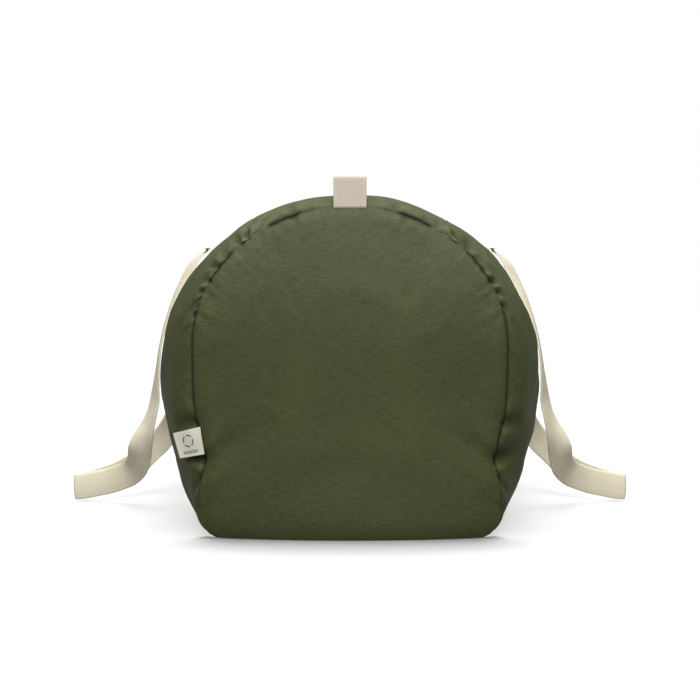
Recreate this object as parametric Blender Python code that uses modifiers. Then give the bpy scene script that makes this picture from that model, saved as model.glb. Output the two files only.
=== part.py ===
"""Canvas duffel bag: a stuffed, rounded body with D-shaped ends, a zipped mouth and two webbing handles.

Metres, +Z up. X runs across the bag, Y along it from the near end (-Y) to the far end (+Y).
The origin is the middle of the base, on the surface that the bag stands on.
"""

import math

import bmesh
import bpy
from mathutils import Vector

# Driving dimensions of the stuffed body
LENGTH = 0.480  # between the two end seams
END_HALF_WIDTH = 0.143  # of the D-shaped end, at its widest
END_WIDEST_AT = 0.175  # height of the widest place of the end
END_HEIGHT = 0.300
END_TAPER = 0.05  # share of the half width lost between the widest place and the floor
MID_HALF_WIDTH = 0.187
MID_WIDEST_AT = 0.148
MID_HEIGHT = 0.313
MID_TAPER = 0.20
TAPER_POWER = 2.0
CORNER_RADIUS = 0.020  # between the base and a side
SIDE_SWELL = 0.150  # how far from the end seam the sides reach their full width
TOP_SWELL = 0.040  # the same for the top
TAPER_SWELL = 0.050  # the same for the narrowing towards the base
END_DOME = 0.014  # how far the end panels bulge outwards
DENT = 0.0085  # the end seams are drawn in here, above each bottom corner
DENT_AT = 0.070
DENT_HEIGHT = 0.021
DENT_REACH = 0.030  # along the bag

# Cloth, webbing and clearances
CANVAS = 0.0015
WEBBING = 0.0016
HANDLE_WIDTH = 0.027
TAB_WIDTH = 0.030
GAP = 0.0003
HALF_GAP = 0.0002

# The zipped mouth
HINGE_X = 0.088  # where the mouth flaps bend
HINGE_Z = MID_WIDEST_AT + (MID_HEIGHT - MID_WIDEST_AT) * math.sqrt(1 - (HINGE_X / MID_HALF_WIDTH) ** 2)
FLAP_INSET = 0.048  # from the end seam to the end of a mouth flap
ZIP_EDGE = 0.008  # half of the gap between the two canvas edges
TAPE_INNER = 0.0012
TAPE_OUTER = 0.014
TAPE = 0.0008
COIL_INNER = 0.00015
COIL_WIDTH = 0.00245
COIL_THICKNESS = 0.0022
COIL_RISE = 0.0007  # the coil's top above the canvas
SLIDER_Y = 0.193  # the closed slider; it opens towards the near end
SLIDER_LENGTH = 0.015
SLIDER_HALF_WIDTH = 0.0065
PULL_PIVOT_RISE = 0.0042  # above the canvas

# Handles
ANCHOR_Y = 0.085  # each leg's middle, from the middle of the bag
ANCHOR_ANGLE = math.radians(48)  # from the top, where the sewn webbing ends
FOLD_RADIUS = 0.0044
FOLD_AXIS_LIFT = 0.0055  # of the fold's axis above the canvas
FOLD_CLEARANCE = 0.0046  # along the side, between the end of the sewn webbing and the fold's axis
ANCHOR_LIFT = FOLD_AXIS_LIFT - FOLD_RADIUS

GREEN = (0.075, 0.088, 0.034, 1)
BEIGE = (0.66, 0.60, 0.47, 1)
DARK = (0.03, 0.035, 0.018, 1)


# ---------------------------------------------------------------- the body's surface


def swell(distance, reach):
    """0 at the end seam, rising like a quarter circle to 1 at reach."""
    if distance >= reach:
        return 1.0
    return math.sqrt(1 - (1 - max(distance, 0) / reach) ** 2)


def section(y):
    """(half width, height of the widest place, height, taper) of the body's outline at y."""
    from_seam = LENGTH / 2 - abs(y)
    side = swell(from_seam, SIDE_SWELL)
    top = swell(from_seam, TOP_SWELL)
    return (
        END_HALF_WIDTH + (MID_HALF_WIDTH - END_HALF_WIDTH) * side,
        END_WIDEST_AT + (MID_WIDEST_AT - END_WIDEST_AT) * top,
        END_HEIGHT + (MID_HEIGHT - END_HEIGHT) * top,
        END_TAPER + (MID_TAPER - END_TAPER) * swell(from_seam, TAPER_SWELL),
    )


def side_x(y, z):
    """Half width of the body at height z, below its widest place."""
    half_width, widest_at, _, taper = section(y)
    drop = max(widest_at - z, 0) / widest_at
    reach = ((LENGTH / 2 - abs(y)) / DENT_REACH) ** 2 + ((z - DENT_AT) / DENT_HEIGHT) ** 2
    return half_width * (1 - taper * drop**TAPER_POWER) - DENT * math.exp(-reach)


def corner(y):
    """The rounded bottom corner at y: (centre x, angle of its upper end above the horizontal, negative)."""
    half_width, widest_at, _, taper = section(y)
    lean = math.atan(half_width * taper * TAPER_POWER / widest_at)
    top_z = CORNER_RADIUS * (1 - math.sin(lean))
    return side_x(y, top_z) - CORNER_RADIUS * math.cos(lean), -lean


def low_points(y, corner_steps=4, side_steps=12):
    """(x, z) from the base seam up to the widest place."""
    centre_x, last = corner(y)
    points = []
    for i in range(corner_steps + 1):
        angle = -math.pi / 2 + (last + math.pi / 2) * i / corner_steps
        points.append(
            (centre_x + CORNER_RADIUS * math.cos(angle), CORNER_RADIUS * (1 + math.sin(angle)))
        )
    bottom = points[-1][1]
    widest_at = section(y)[1]
    for i in range(1, side_steps + 1):
        z = bottom + (widest_at - bottom) * i / side_steps
        points.append((side_x(y, z), z))
    return points


def arch_point(y, x):
    """(x, z) on the upper arch, x across from the middle."""
    half_width, widest_at, height, _ = section(y)
    share = min(abs(x) / half_width, 1)
    return x, widest_at + (height - widest_at) * math.sqrt(1 - share**2)


def arch_points(y, from_x, to_x, steps):
    """(x, z) along the upper arch, evenly spaced in angle. from_x None starts at the widest place."""
    half_width = section(y)[0]
    first = math.pi / 2 if from_x is None else math.asin(from_x / half_width)
    last = math.asin(to_x / half_width)
    angles = [first + (last - first) * i / steps for i in range(steps + 1)]
    return [arch_point(y, half_width * math.sin(a)) for a in angles]


# ---------------------------------------------------------------- building blocks


def material(name, colour, roughness, metallic=0.0):
    made = bpy.data.materials.get(name)
    if made is None:
        made = bpy.data.materials.new(name)
        made.use_nodes = True
        shader = made.node_tree.nodes["Principled BSDF"]
        shader.inputs["Base Color"].default_value = colour
        shader.inputs["Roughness"].default_value = roughness
        shader.inputs["Metallic"].default_value = metallic
    return made


def canvas_material():
    return material("green_canvas", GREEN, 0.9)


def webbing_material():
    return material("natural_webbing", BEIGE, 0.9)


def zip_material():
    return material("zip_tape", DARK, 0.8)


def metal_material():
    return material("slider_metal", (0.35, 0.34, 0.32, 1), 0.35, 1.0)


def add_mesh(name, points, faces, finish, origin=(0, 0, 0)):
    """A mesh object whose points are given in the row frame, with its origin at origin."""
    mesh = bpy.data.meshes.new(name)
    mesh.from_pydata([Vector(p) - Vector(origin) for p in points], [], faces)
    mesh.shade_smooth()
    mesh.set_sharp_from_angle(angle=math.radians(35))
    mesh.materials.append(finish)
    obj = bpy.data.objects.new(name, mesh)
    obj.location = origin
    PARTS.objects.link(obj)
    return obj


def thicken(obj, thickness, outwards=False):
    shell = obj.modifiers.new("thickness", "SOLIDIFY")
    shell.thickness = thickness
    shell.offset = 1.0 if outwards else -1.0
    shell.use_even_offset = True
    return obj


def sheet(name, rows, thickness, finish, flip=False, skip=None, origin=(0, 0, 0), outwards=False):
    """An open surface through equal rows of points, thickened. skip(row, column) leaves a face out."""
    columns = len(rows[0])
    points = [p for row in rows for p in row]
    faces = []
    for i in range(len(rows) - 1):
        for j in range(columns - 1):
            if skip and skip(i, j):
                continue
            a = i * columns + j
            face = (a, a + 1, a + columns + 1, a + columns)
            faces.append(face[::-1] if flip else face)
    used = sorted({v for face in faces for v in face})
    place = {v: n for n, v in enumerate(used)}
    faces = [tuple(place[v] for v in face) for face in faces]
    obj = add_mesh(name, [points[v] for v in used], faces, finish, origin)
    return thicken(obj, thickness, outwards)


def ribbon(name, centres, edges, width, thickness, finish, closed=False, origin=(0, 0, 0)):
    """A strap of rectangular section swept along centres. edges are directions across its width."""
    count = len(centres)
    points = []
    for i in range(count):
        before = centres[(i - 1) % count if closed else max(i - 1, 0)]
        after = centres[(i + 1) % count if closed else min(i + 1, count - 1)]
        along = (after - before).normalized()
        across = edges[i] - along * edges[i].dot(along)
        across.normalize()
        face = along.cross(across)
        half = across * width / 2
        out = face * thickness / 2
        points += [centres[i] - half - out, centres[i] + half - out]
        points += [centres[i] + half + out, centres[i] - half + out]
    faces = []
    for i in range(count if closed else count - 1):
        near, far = 4 * i, 4 * ((i + 1) % count)
        for j in range(4):
            k = (j + 1) % 4
            faces.append((near + j, near + k, far + k, far + j))
    if not closed:
        last = 4 * (count - 1)
        faces += [(3, 2, 1, 0), (last, last + 1, last + 2, last + 3)]
    return add_mesh(name, points, faces, finish, origin)


def smooth_through(points, steps):
    """Points on a Catmull-Rom curve through the given ones, steps to each span."""
    ends = [2 * points[0] - points[1], *points, 2 * points[-1] - points[-2]]
    made = []
    for i in range(1, len(ends) - 2):
        p0, p1, p2, p3 = ends[i - 1 : i + 3]
        for step in range(steps):
            t = step / steps
            made.append(
                (2 * p1 + (p2 - p0) * t + (2 * p0 - 5 * p1 + 4 * p2 - p3) * t**2
                 + (3 * p1 - p0 - 3 * p2 + p3) * t**3) / 2
            )
    return [*made, points[-1].copy()]


def spread(first, last, steps):
    return [first + (last - first) * i / steps for i in range(steps + 1)]


def end_spacing(inset):
    """Distances from the end seam, closer together where the shoulder curves."""
    steps = 7
    first = CANVAS + GAP
    return [first + (inset - first) * (i / steps) ** 1.6 for i in range(steps + 1)]


def body_rows(inset):
    """y of each row of a side panel; the mouth's notch lies between the rows at the two insets."""
    near = [-LENGTH / 2 + d for d in end_spacing(inset)]
    middle = spread(-LENGTH / 2 + inset, LENGTH / 2 - inset, 12)[1:-1]
    return [*near, *middle, *[-y for y in reversed(near)]]


# ---------------------------------------------------------------- canvas


def side_panel(name, side):
    """One side of the body, from the base seam to the mouth, and to the zip beyond the mouth's ends."""
    rows = []
    inset = FLAP_INSET - HALF_GAP
    stations = body_rows(inset)
    for y in stations:
        low = low_points(y)
        low[0] = (low[0][0] + HALF_GAP, low[0][1])
        arch = arch_points(y, None, HINGE_X + HALF_GAP, 7)[1:]
        top = arch_points(y, HINGE_X + HALF_GAP, ZIP_EDGE, 5)[1:]
        rows.append([(side * x, y, z) for x, z in low + arch + top])
    hinge_column = len(low) + len(arch) - 1
    notch = LENGTH / 2 - inset - HALF_GAP

    def in_mouth(i, j):
        middle = (stations[i] + stations[i + 1]) / 2
        return j >= hinge_column and abs(middle) < notch

    return sheet(name, rows, CANVAS, canvas_material(), flip=side > 0, skip=in_mouth)


def mouth_flap(name, side):
    """The canvas between the bend line and the zip. Its origin is on the bend line."""
    inset = FLAP_INSET + HALF_GAP
    rows = []
    for y in spread(-LENGTH / 2 + inset, LENGTH / 2 - inset, 12):
        across = arch_points(y, HINGE_X - HALF_GAP, ZIP_EDGE, 6)
        rows.append([(side * x, y, z) for x, z in across])
    return sheet(
        name, rows, CANVAS, canvas_material(), flip=side > 0, origin=(side * HINGE_X, 0, HINGE_Z)
    )


def base_panel():
    rows = []
    for y in body_rows(FLAP_INSET):
        edge = corner(y)[0] - 2 * GAP
        rows.append([(-edge, y, 0), (edge, y, 0)])
    return sheet("base_panel", rows, CANVAS, canvas_material(), flip=True)


def end_outline():
    """(x, z) once round the D-shaped end, from the base's middle."""
    y = LENGTH / 2
    right = [(0, 0), *low_points(y), *arch_points(y, None, 0, 12)[1:]]
    left = [(-x, z) for x, z in reversed(right[1:-1])]
    return right + left


def end_panel(name, end):
    """A D-shaped end that domes outwards."""
    outline = end_outline()
    centre_z = END_HEIGHT / 2
    shares = (1.0, 0.93, 0.82, 0.66, 0.45, 0.22)
    points = []
    for share in shares:
        y = end * (LENGTH / 2 + END_DOME * (1 - share**2))
        points += [(share * x, y, centre_z + share * (z - centre_z)) for x, z in outline]
    points.append((0, end * (LENGTH / 2 + END_DOME), centre_z))
    count = len(outline)
    faces = []
    for ring in range(len(shares) - 1):
        for j in range(count):
            k = (j + 1) % count
            a, b = ring * count, (ring + 1) * count
            faces.append((a + j, a + k, b + k, b + j))
    inner = (len(shares) - 1) * count
    faces += [(inner + j, inner + (j + 1) % count, len(points) - 1) for j in range(count)]
    if end > 0:
        faces = [face[::-1] for face in faces]
    return thicken(add_mesh(name, points, faces, canvas_material()), CANVAS)


def seam_binding(name, end):
    """The tape that binds the raw edges of an end seam, inside the bag."""
    inset, width, thickness = 0.006, 0.010, 0.0018
    y = end * (LENGTH / 2 - 0.010)
    centre_z = END_HEIGHT / 2
    centres = []
    for x, z in end_outline():
        outwards = Vector((x, 0, z - centre_z)).normalized()
        centres.append(Vector((x, y, z)) - outwards * inset)
    edges = [Vector((0, 1, 0))] * len(centres)
    return ribbon(name, centres, edges, width, thickness, material("binding", DARK, 0.9), closed=True)


def base_board():
    """The stiff sheet that lies loose on the base, inside."""
    half_width, half_length, thickness, radius = 0.108, 0.212, 0.003, 0.018
    centres = (
        (half_width - radius, half_length - radius, 0),
        (radius - half_width, half_length - radius, 90),
        (radius - half_width, radius - half_length, 180),
        (half_width - radius, radius - half_length, 270),
    )
    curve = bpy.data.curves.new("base_board", "CURVE")
    curve.dimensions = "2D"
    curve.fill_mode = "BOTH"
    curve.extrude = thickness / 2
    outline = curve.splines.new("POLY")
    corner_steps = 5
    outline.points.add(4 * (corner_steps + 1) - 1)
    for n, (x, y, start) in enumerate(centres):
        for i in range(corner_steps + 1):
            angle = math.radians(start + 90 * i / corner_steps)
            point = (x + radius * math.cos(angle), y + radius * math.sin(angle), 0, 1)
            outline.points[n * (corner_steps + 1) + i].co = point
    outline.use_cyclic_u = True
    curve.materials.append(material("board", (0.05, 0.05, 0.05, 1), 0.5))
    obj = bpy.data.objects.new("base_board", curve)
    obj.location.z = CANVAS + GAP + thickness / 2
    PARTS.objects.link(obj)
    return obj


def care_label():
    """A small woven label caught in the near left seam and lying on the side panel."""
    low, height, slope, lift = 0.0745, 0.025, 0.30, 0.0008
    rows = []
    for depth in (0.0022, 0.004, 0.0065, 0.010, 0.014, 0.019):
        y = -LENGTH / 2 + depth
        row = []
        for z in spread(low - slope * depth, low + height - slope * depth, 6):
            here = Vector((-side_x(y, z), y, z))
            deeper = Vector((-side_x(y + 0.001, z), y + 0.001, z))
            higher = Vector((-side_x(y, z + 0.001), y, z + 0.001))
            out = (deeper - here).cross(higher - here).normalized()
            if out.x > 0:
                out = -out
            row.append(here + out * lift)
        rows.append(row)
    return sheet("care_label", rows, 0.0005, material("label", BEIGE, 0.8), outwards=True)


# ---------------------------------------------------------------- webbing


def fold_frame():
    """(surface point, outward direction, direction towards the top) of the left anchor, at x < 0."""
    half_width, widest_at, height, _ = section(ANCHOR_Y)
    rise = height - widest_at
    sine, cosine = math.sin(ANCHOR_ANGLE), math.cos(ANCHOR_ANGLE)
    point = Vector((-half_width * sine, 0, widest_at + rise * cosine))
    out = Vector((-sine / half_width, 0, cosine / rise)).normalized()
    return point, out, Vector((out.z, 0, -out.x))


def mirrored(vector, side):
    """The left half's vector on the side asked for: side is -1 for left and 1 for right."""
    return Vector((-side * vector.x, vector.y, vector.z))


def handle_axis(side):
    point, out, _ = fold_frame()
    return mirrored(point + out * FOLD_AXIS_LIFT, side)


def anchor_strap(name, side, end):
    """Webbing sewn up the side from the base seam to just under the handle's fold."""
    y = end * ANCHOR_Y
    half_width, widest_at, height, _ = section(y)
    per_radian = math.hypot(
        half_width * math.cos(ANCHOR_ANGLE), (height - widest_at) * math.sin(ANCHOR_ANGLE)
    )
    last = ANCHOR_ANGLE + FOLD_CLEARANCE / per_radian
    flat = low_points(y)[3:]
    flat += arch_points(y, None, half_width * math.sin(last), 8)[1:]
    centres = []
    for i, (x, z) in enumerate(flat):
        before, after = flat[max(i - 1, 0)], flat[min(i + 1, len(flat) - 1)]
        out = Vector((after[1] - before[1], 0, before[0] - after[0])).normalized()
        centres.append(mirrored(Vector((-x, y, z)) + Vector((-out.x, 0, out.z)) * ANCHOR_LIFT, side))
    edges = [Vector((0, 1, 0))] * len(centres)
    return ribbon(name, centres, edges, HANDLE_WIDTH, WEBBING, webbing_material())


# The left handle from its near fold to its far fold: (x, y, z) and the direction across the strap, which is
# its near edge at first. Each leg hangs down the side; between them the loop stands on its edge.
HANDLE_ROUTE = (
    ((-0.1594, -0.085, 0.2520), (0.24, -0.97, 0.00)),
    ((-0.1694, -0.085, 0.2340), (0.32, -0.95, 0.00)),
    ((-0.1795, -0.085, 0.2140), (0.19, -0.98, 0.00)),
    ((-0.1877, -0.085, 0.1930), (0.15, -0.99, 0.00)),
    ((-0.1932, -0.085, 0.1700), (0.15, -0.99, 0.00)),
    ((-0.1968, -0.085, 0.1460), (0.22, -0.98, 0.00)),
    ((-0.1988, -0.085, 0.1270), (0.33, -0.94, 0.00)),
    ((-0.2003, -0.085, 0.1110), (0.45, -0.89, 0.00)),
    ((-0.2033, -0.085, 0.0980), (0.48, -0.88, 0.00)),
    ((-0.2072, -0.084, 0.0860), (0.60, -0.80, 0.00)),
    ((-0.2123, -0.082, 0.0730), (0.80, -0.60, 0.00)),
    ((-0.2165, -0.077, 0.0590), (0.92, -0.35, -0.15)),
    ((-0.2212, -0.065, 0.0425), (0.75, -0.15, -0.64)),
    ((-0.2312, -0.051, 0.0320), (0.40, 0.00, -0.92)),
    ((-0.2420, -0.044, 0.0268), (0.24, 0.00, -0.97)),
    ((-0.2545, -0.039, 0.0222), (0.14, 0.00, -0.99)),
    ((-0.2690, -0.036, 0.0188), (0.08, 0.00, -1.00)),
    ((-0.2830, -0.034, 0.0158), (0.04, 0.00, -1.00)),
    ((-0.2908, -0.0325, 0.0150), (0.03, 0.00, -1.00)),
    ((-0.2928, -0.0295, 0.0149), (0.03, 0.00, -1.00)),
    ((-0.2908, -0.0265, 0.0150), (0.03, 0.00, -1.00)),
    ((-0.2810, -0.0230, 0.0162), (0.06, 0.00, -1.00)),
    ((-0.2640, -0.0150, 0.0206), (0.20, 0.00, -0.98)),
    ((-0.2480, -0.0030, 0.0258), (0.32, 0.00, -0.95)),
    ((-0.2345, 0.0140, 0.0335), (0.44, 0.05, -0.90)),
    ((-0.2215, 0.0380, 0.0460), (0.58, 0.12, -0.81)),
    ((-0.2105, 0.0560, 0.0570), (0.66, 0.28, -0.70)),
    ((-0.2022, 0.0700, 0.0740), (0.62, 0.65, -0.44)),
    ((-0.1985, 0.0800, 0.0970), (0.40, 0.90, -0.10)),
    ((-0.1976, 0.0840, 0.1220), (0.20, 0.98, 0.00)),
    ((-0.1958, 0.0850, 0.1460), (0.10, 0.99, 0.00)),
    ((-0.1925, 0.0850, 0.1700), (0.05, 1.00, 0.00)),
    ((-0.1870, 0.0850, 0.1930), (0.05, 1.00, 0.00)),
    ((-0.1790, 0.0850, 0.2140), (0.05, 1.00, 0.00)),
    ((-0.1688, 0.0850, 0.2340), (0.05, 1.00, 0.00)),
    ((-0.1590, 0.0850, 0.2520), (0.05, 1.00, 0.00)),
)


def handle_fold(end):
    """Centre points of the left handle's fold, from the sewn webbing over to the hanging leg."""
    point, out, up = fold_frame()
    axis = point + out * FOLD_AXIS_LIFT + Vector((0, end * ANCHOR_Y, 0))
    steps = 8
    turns = [math.pi * (0.02 + 0.98 * i / steps) for i in range(steps + 1)]
    return [axis + (up * math.sin(turn) - out * math.cos(turn)) * FOLD_RADIUS for turn in turns]


def handle(name, side):
    """One carrying loop, from fold to fold. Its origin is on the line between the two folds."""
    near, far = handle_fold(-1), handle_fold(1)
    places = [near[-1], *[Vector(p) for p, _ in HANDLE_ROUTE], far[-1]]
    near_edge, far_edge = Vector((0, -1, 0)), Vector((0, 1, 0))
    edges = [near_edge, *[Vector(e) for _, e in HANDLE_ROUTE], far_edge]
    centres = [*near[:-1], *smooth_through(places, 3), *reversed(far[:-1])]
    widths = [near_edge] * (len(near) - 1) + smooth_through(edges, 3) + [far_edge] * (len(far) - 1)
    centres = [mirrored(c, side) for c in centres]
    widths = [mirrored(w, side) for w in widths]
    return ribbon(
        name, centres, widths, HANDLE_WIDTH, WEBBING, webbing_material(), origin=handle_axis(side)
    )


def zip_tab(name, end):
    """Webbing folded double and caught in the end seam, over the end of the zip."""
    low, high, radius = END_HEIGHT + 0.001, 0.3272, 0.0010
    y = end * (LENGTH / 2)
    path = [Vector((0, y - radius, z)) for z in spread(low, high, 4)]
    steps = 6
    for i in range(1, steps):
        angle = math.pi * i / steps
        path.append(Vector((0, y - radius * math.cos(angle), high + radius * math.sin(angle))))
    path += [Vector((0, y + radius, z)) for z in spread(high, low, 4)]
    edges = [Vector((1, 0, 0))] * len(path)
    return ribbon(name, path, edges, TAB_WIDTH, WEBBING * 0.9, webbing_material())


# ---------------------------------------------------------------- zip


def zip_stations():
    """y of each row of the zip, from tab to tab, closer together at the slider."""
    near = [-LENGTH / 2 + d for d in end_spacing(FLAP_INSET - HALF_GAP)[1:]]
    middle = spread(near[-1], SLIDER_Y - 0.010, 10)[1:]
    slider = spread(SLIDER_Y - 0.005, SLIDER_Y + 0.012, 7)
    far = [-y for y in reversed(near) if -y > slider[-1] + 0.001]
    return [*near, *middle, *slider, *far]


def top_z(y):
    return section(y)[2]


def zip_tape(name, side):
    rows = []
    for y in zip_stations():
        drop = CANVAS + 2 * GAP
        parting = coil_parting(y)
        inner, outer = arch_point(y, TAPE_INNER + parting), arch_point(y, TAPE_OUTER)
        rows.append([(side * x, y, z - drop) for x, z in (inner, outer)])
    return sheet(name, rows, TAPE, zip_material(), flip=side < 0, origin=(side * HINGE_X, 0, HINGE_Z))


def coil_parting(y):
    """How far each half of the chain is pushed aside by the slider's post."""
    centre, reach, most = SLIDER_Y + 0.0045, 0.0075, 0.0017
    away = abs(y - centre)
    return most * (0.5 + 0.5 * math.cos(math.pi * min(away / reach, 1)))


def zip_coil(name, side):
    """Half of the zip's chain, as a plain bar of its outer size."""
    centres = []
    for y in zip_stations():
        x = COIL_INNER + COIL_WIDTH / 2 + coil_parting(y)
        centres.append(Vector((side * x, y, top_z(y) + COIL_RISE - COIL_THICKNESS / 2)))
    edges = [Vector((side, 0, 0))] * len(centres)
    return ribbon(
        name, centres, edges, COIL_WIDTH, COIL_THICKNESS, zip_material(),
        origin=(side * HINGE_X, 0, HINGE_Z),
    )


def block(name, low, high):
    """A box between two corners, as an object of its own for a union or a cut."""
    low, high = Vector(low), Vector(high)
    bpy.ops.mesh.primitive_cube_add(size=1, location=(low + high) / 2)
    obj = bpy.context.active_object
    obj.name = name
    obj.scale = high - low
    bpy.ops.object.transform_apply(location=False, rotation=False, scale=True)
    move_to(obj, HELPERS)
    obj.hide_render = True
    obj.display_type = "WIRE"
    return obj


def move_to(obj, collection):
    for holder in list(obj.users_collection):
        holder.objects.unlink(obj)
    collection.objects.link(obj)


def solid_block(name, low, high, finish):
    """A box that is a part in its own right."""
    obj = block(name, low, high)
    move_to(obj, PARTS)
    obj.hide_render = False
    obj.display_type = "TEXTURED"
    obj.data.materials.append(finish)
    return obj


def combine(obj, helper, operation):
    step = obj.modifiers.new(helper.name, "BOOLEAN")
    step.operation = operation
    step.object = helper
    step.solver = "EXACT"


def zip_slider():
    """Two plates joined by a post, flanges that hold the coils, and a bridge for the pull."""
    z = MID_HEIGHT
    half, long = SLIDER_HALF_WIDTH, SLIDER_LENGTH / 2
    top, bottom = z + 0.0011, z - 0.0036
    plate = 0.0013
    flange = 0.0012
    nose = SLIDER_Y + long
    tail = SLIDER_Y - long
    body = solid_block("zip_slider", (-half, tail, top), (half, nose, top + plate), metal_material())
    lap = 0.0002
    pieces = [block("slider_under", (-half, tail, bottom - plate), (half, nose, bottom))]
    post_low, post_high = SLIDER_Y + 0.0030, SLIDER_Y + 0.0062
    pieces.append(block("slider_post", (-0.0012, post_low, bottom - lap), (0.0012, post_high, top + lap)))
    for side in (-1, 1):
        edge = sorted((side * half, side * (half - flange)))
        pieces.append(block("slider_flange", (edge[0], tail, z - 0.0012), (edge[1], nose, top + lap)))
    bridge_low, bridge_high = SLIDER_Y - 0.0050, SLIDER_Y + 0.0040
    low, high = (-0.0014, bridge_low, top + plate - lap), (0.0014, bridge_high, z + 0.0062)
    pieces.append(block("slider_bridge", low, high))
    for piece in pieces:
        combine(body, piece, "UNION")
    low, high = (-0.004, bridge_low + 0.0012, top + plate), (0.004, bridge_high - 0.0012, z + 0.0050)
    window = block("slider_window", low, high)
    combine(body, window, "DIFFERENCE")
    return body


def pull_pivot():
    return Vector((0, SLIDER_Y - 0.0005, MID_HEIGHT + PULL_PIVOT_RISE - 0.0004))


def pull_tab():
    """The metal pull: a flat plate with a slot round the slider's bridge and one for the ribbon."""
    pivot = pull_pivot()
    half, long, thickness = 0.0036, 0.0155, 0.0010
    low = pivot + Vector((-half, -long, -thickness / 2))
    high = pivot + Vector((half, 0.0006, thickness / 2))
    body = solid_block("pull_tab", low, high, metal_material())
    for name, first, last in (("pull_eye", -0.0060, -0.0006), ("pull_slot", -0.0140, -0.0115)):
        hole = block(name, pivot + Vector((-0.0024, first, -0.01)), pivot + Vector((0.0024, last, 0.01)))
        combine(body, hole, "DIFFERENCE")
    rounding = body.modifiers.new("rounding", "BEVEL")
    rounding.width = 0.0002
    rounding.segments = 1
    move_origin(body, pivot)
    return body


def pull_ribbon():
    """Narrow webbing folded through the pull's slot."""
    pivot = pull_pivot()
    radius, reach = 0.0015, 0.0210
    bar = pivot + Vector((0, -0.0148, 0))
    path = [bar + Vector((0, -reach * (1 - i / 4), radius)) for i in range(5)]
    steps = 6
    for i in range(1, steps):
        angle = math.pi * i / steps
        path.append(bar + Vector((0, radius * math.sin(angle), radius * math.cos(angle))))
    path += [bar + Vector((0, -reach * i / 4, -radius)) for i in range(5)]
    edges = [Vector((1, 0, 0))] * len(path)
    return ribbon("pull_ribbon", path, edges, 0.0042, 0.0008, webbing_material(), origin=pivot)


def move_origin(obj, origin):
    """Puts the object's origin on its joint's axis without moving its mesh."""
    shift = obj.location - Vector(origin)
    for vertex in obj.data.vertices:
        vertex.co += shift
    obj.location = origin


# ---------------------------------------------------------------- the bag


def new_collection(name):
    made = bpy.data.collections.new(name)
    bpy.context.scene.collection.children.link(made)
    return made


def build():
    base_panel()
    base_board()
    care_label()
    for end, end_name in ((-1, "near"), (1, "far")):
        end_panel(f"{end_name}_end_panel", end)
        seam_binding(f"{end_name}_seam_binding", end)
        zip_tab(f"{end_name}_zip_tab", end)
    for side, side_name in ((-1, "left"), (1, "right")):
        side_panel(f"{side_name}_side_panel", side)
        mouth_flap(f"{side_name}_mouth_flap", side)
        zip_tape(f"{side_name}_zip_tape", side)
        zip_coil(f"{side_name}_zip_coil", side)
        handle(f"{side_name}_handle", side)
        for end, end_name in ((-1, "near"), (1, "far")):
            anchor_strap(f"{side_name}_{end_name}_anchor_strap", side, end)
    zip_slider()
    pull_tab()
    pull_ribbon()


for old in list(bpy.data.objects):
    bpy.data.objects.remove(old)
PARTS = new_collection("canvas_duffel_bag")
HELPERS = new_collection("helpers")
HELPERS.hide_render = True
build()
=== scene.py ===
"""Canvas duffel bag: the picture scene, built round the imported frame.

Metres, in the frame's axes: X across the bag, Y from the near end (-Y) to the far end (+Y), Z up.
"""

import math

import bpy
import numpy as np
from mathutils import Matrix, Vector


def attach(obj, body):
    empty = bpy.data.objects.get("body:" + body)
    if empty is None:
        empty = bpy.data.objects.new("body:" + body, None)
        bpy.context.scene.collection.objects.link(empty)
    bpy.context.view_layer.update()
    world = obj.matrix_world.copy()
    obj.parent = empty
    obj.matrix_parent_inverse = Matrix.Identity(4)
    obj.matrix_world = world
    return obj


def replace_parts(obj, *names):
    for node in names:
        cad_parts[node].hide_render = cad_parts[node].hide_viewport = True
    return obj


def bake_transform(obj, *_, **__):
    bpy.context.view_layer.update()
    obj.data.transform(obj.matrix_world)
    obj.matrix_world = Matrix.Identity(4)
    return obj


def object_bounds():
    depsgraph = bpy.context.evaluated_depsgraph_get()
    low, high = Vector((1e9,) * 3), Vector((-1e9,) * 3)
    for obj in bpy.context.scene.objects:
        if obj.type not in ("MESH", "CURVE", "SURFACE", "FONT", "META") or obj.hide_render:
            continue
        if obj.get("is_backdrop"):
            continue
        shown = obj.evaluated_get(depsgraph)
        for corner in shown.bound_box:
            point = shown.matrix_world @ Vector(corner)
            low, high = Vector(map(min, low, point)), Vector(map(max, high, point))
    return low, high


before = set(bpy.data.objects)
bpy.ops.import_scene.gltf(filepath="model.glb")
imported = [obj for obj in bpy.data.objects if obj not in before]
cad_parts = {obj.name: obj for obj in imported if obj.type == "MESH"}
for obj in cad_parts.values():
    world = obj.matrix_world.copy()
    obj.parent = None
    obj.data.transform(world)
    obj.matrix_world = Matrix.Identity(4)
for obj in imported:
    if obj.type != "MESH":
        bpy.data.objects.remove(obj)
cad_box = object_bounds()

# ---------------------------------------------------------------- the frame's own dimensions

LENGTH = 0.480
END = dict(half=0.143, widest=0.175, height=0.300, taper=0.05)
MID = dict(half=0.187, widest=0.148, height=0.313, taper=0.20)
CORNER = 0.020
DENT, DENT_AT, DENT_HEIGHT, DENT_REACH = 0.0085, 0.070, 0.021, 0.030
HINGE_X = 0.088
EDGE_X = 0.0069  # the canvas edge along the zip
DOME = 0.0135
BELLY = 0.021
CANVAS = 0.0013
WEBBING = 0.0017
WIDTH = 0.027
TAB_WIDTH = 0.030
ANCHOR_Y = 0.085
SLIDER_Y = 0.193
SLIDER_TRAVEL = 0.3860  # from the closed place to the open one

# ---------------------------------------------------------------- camera and lights

NEAR_SEAM = -LENGTH / 2
CAMERA_DISTANCE, CAMERA_HEIGHT = 1.30, 0.233
CAMERA_TILT = 2.76  # degrees below level

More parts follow.
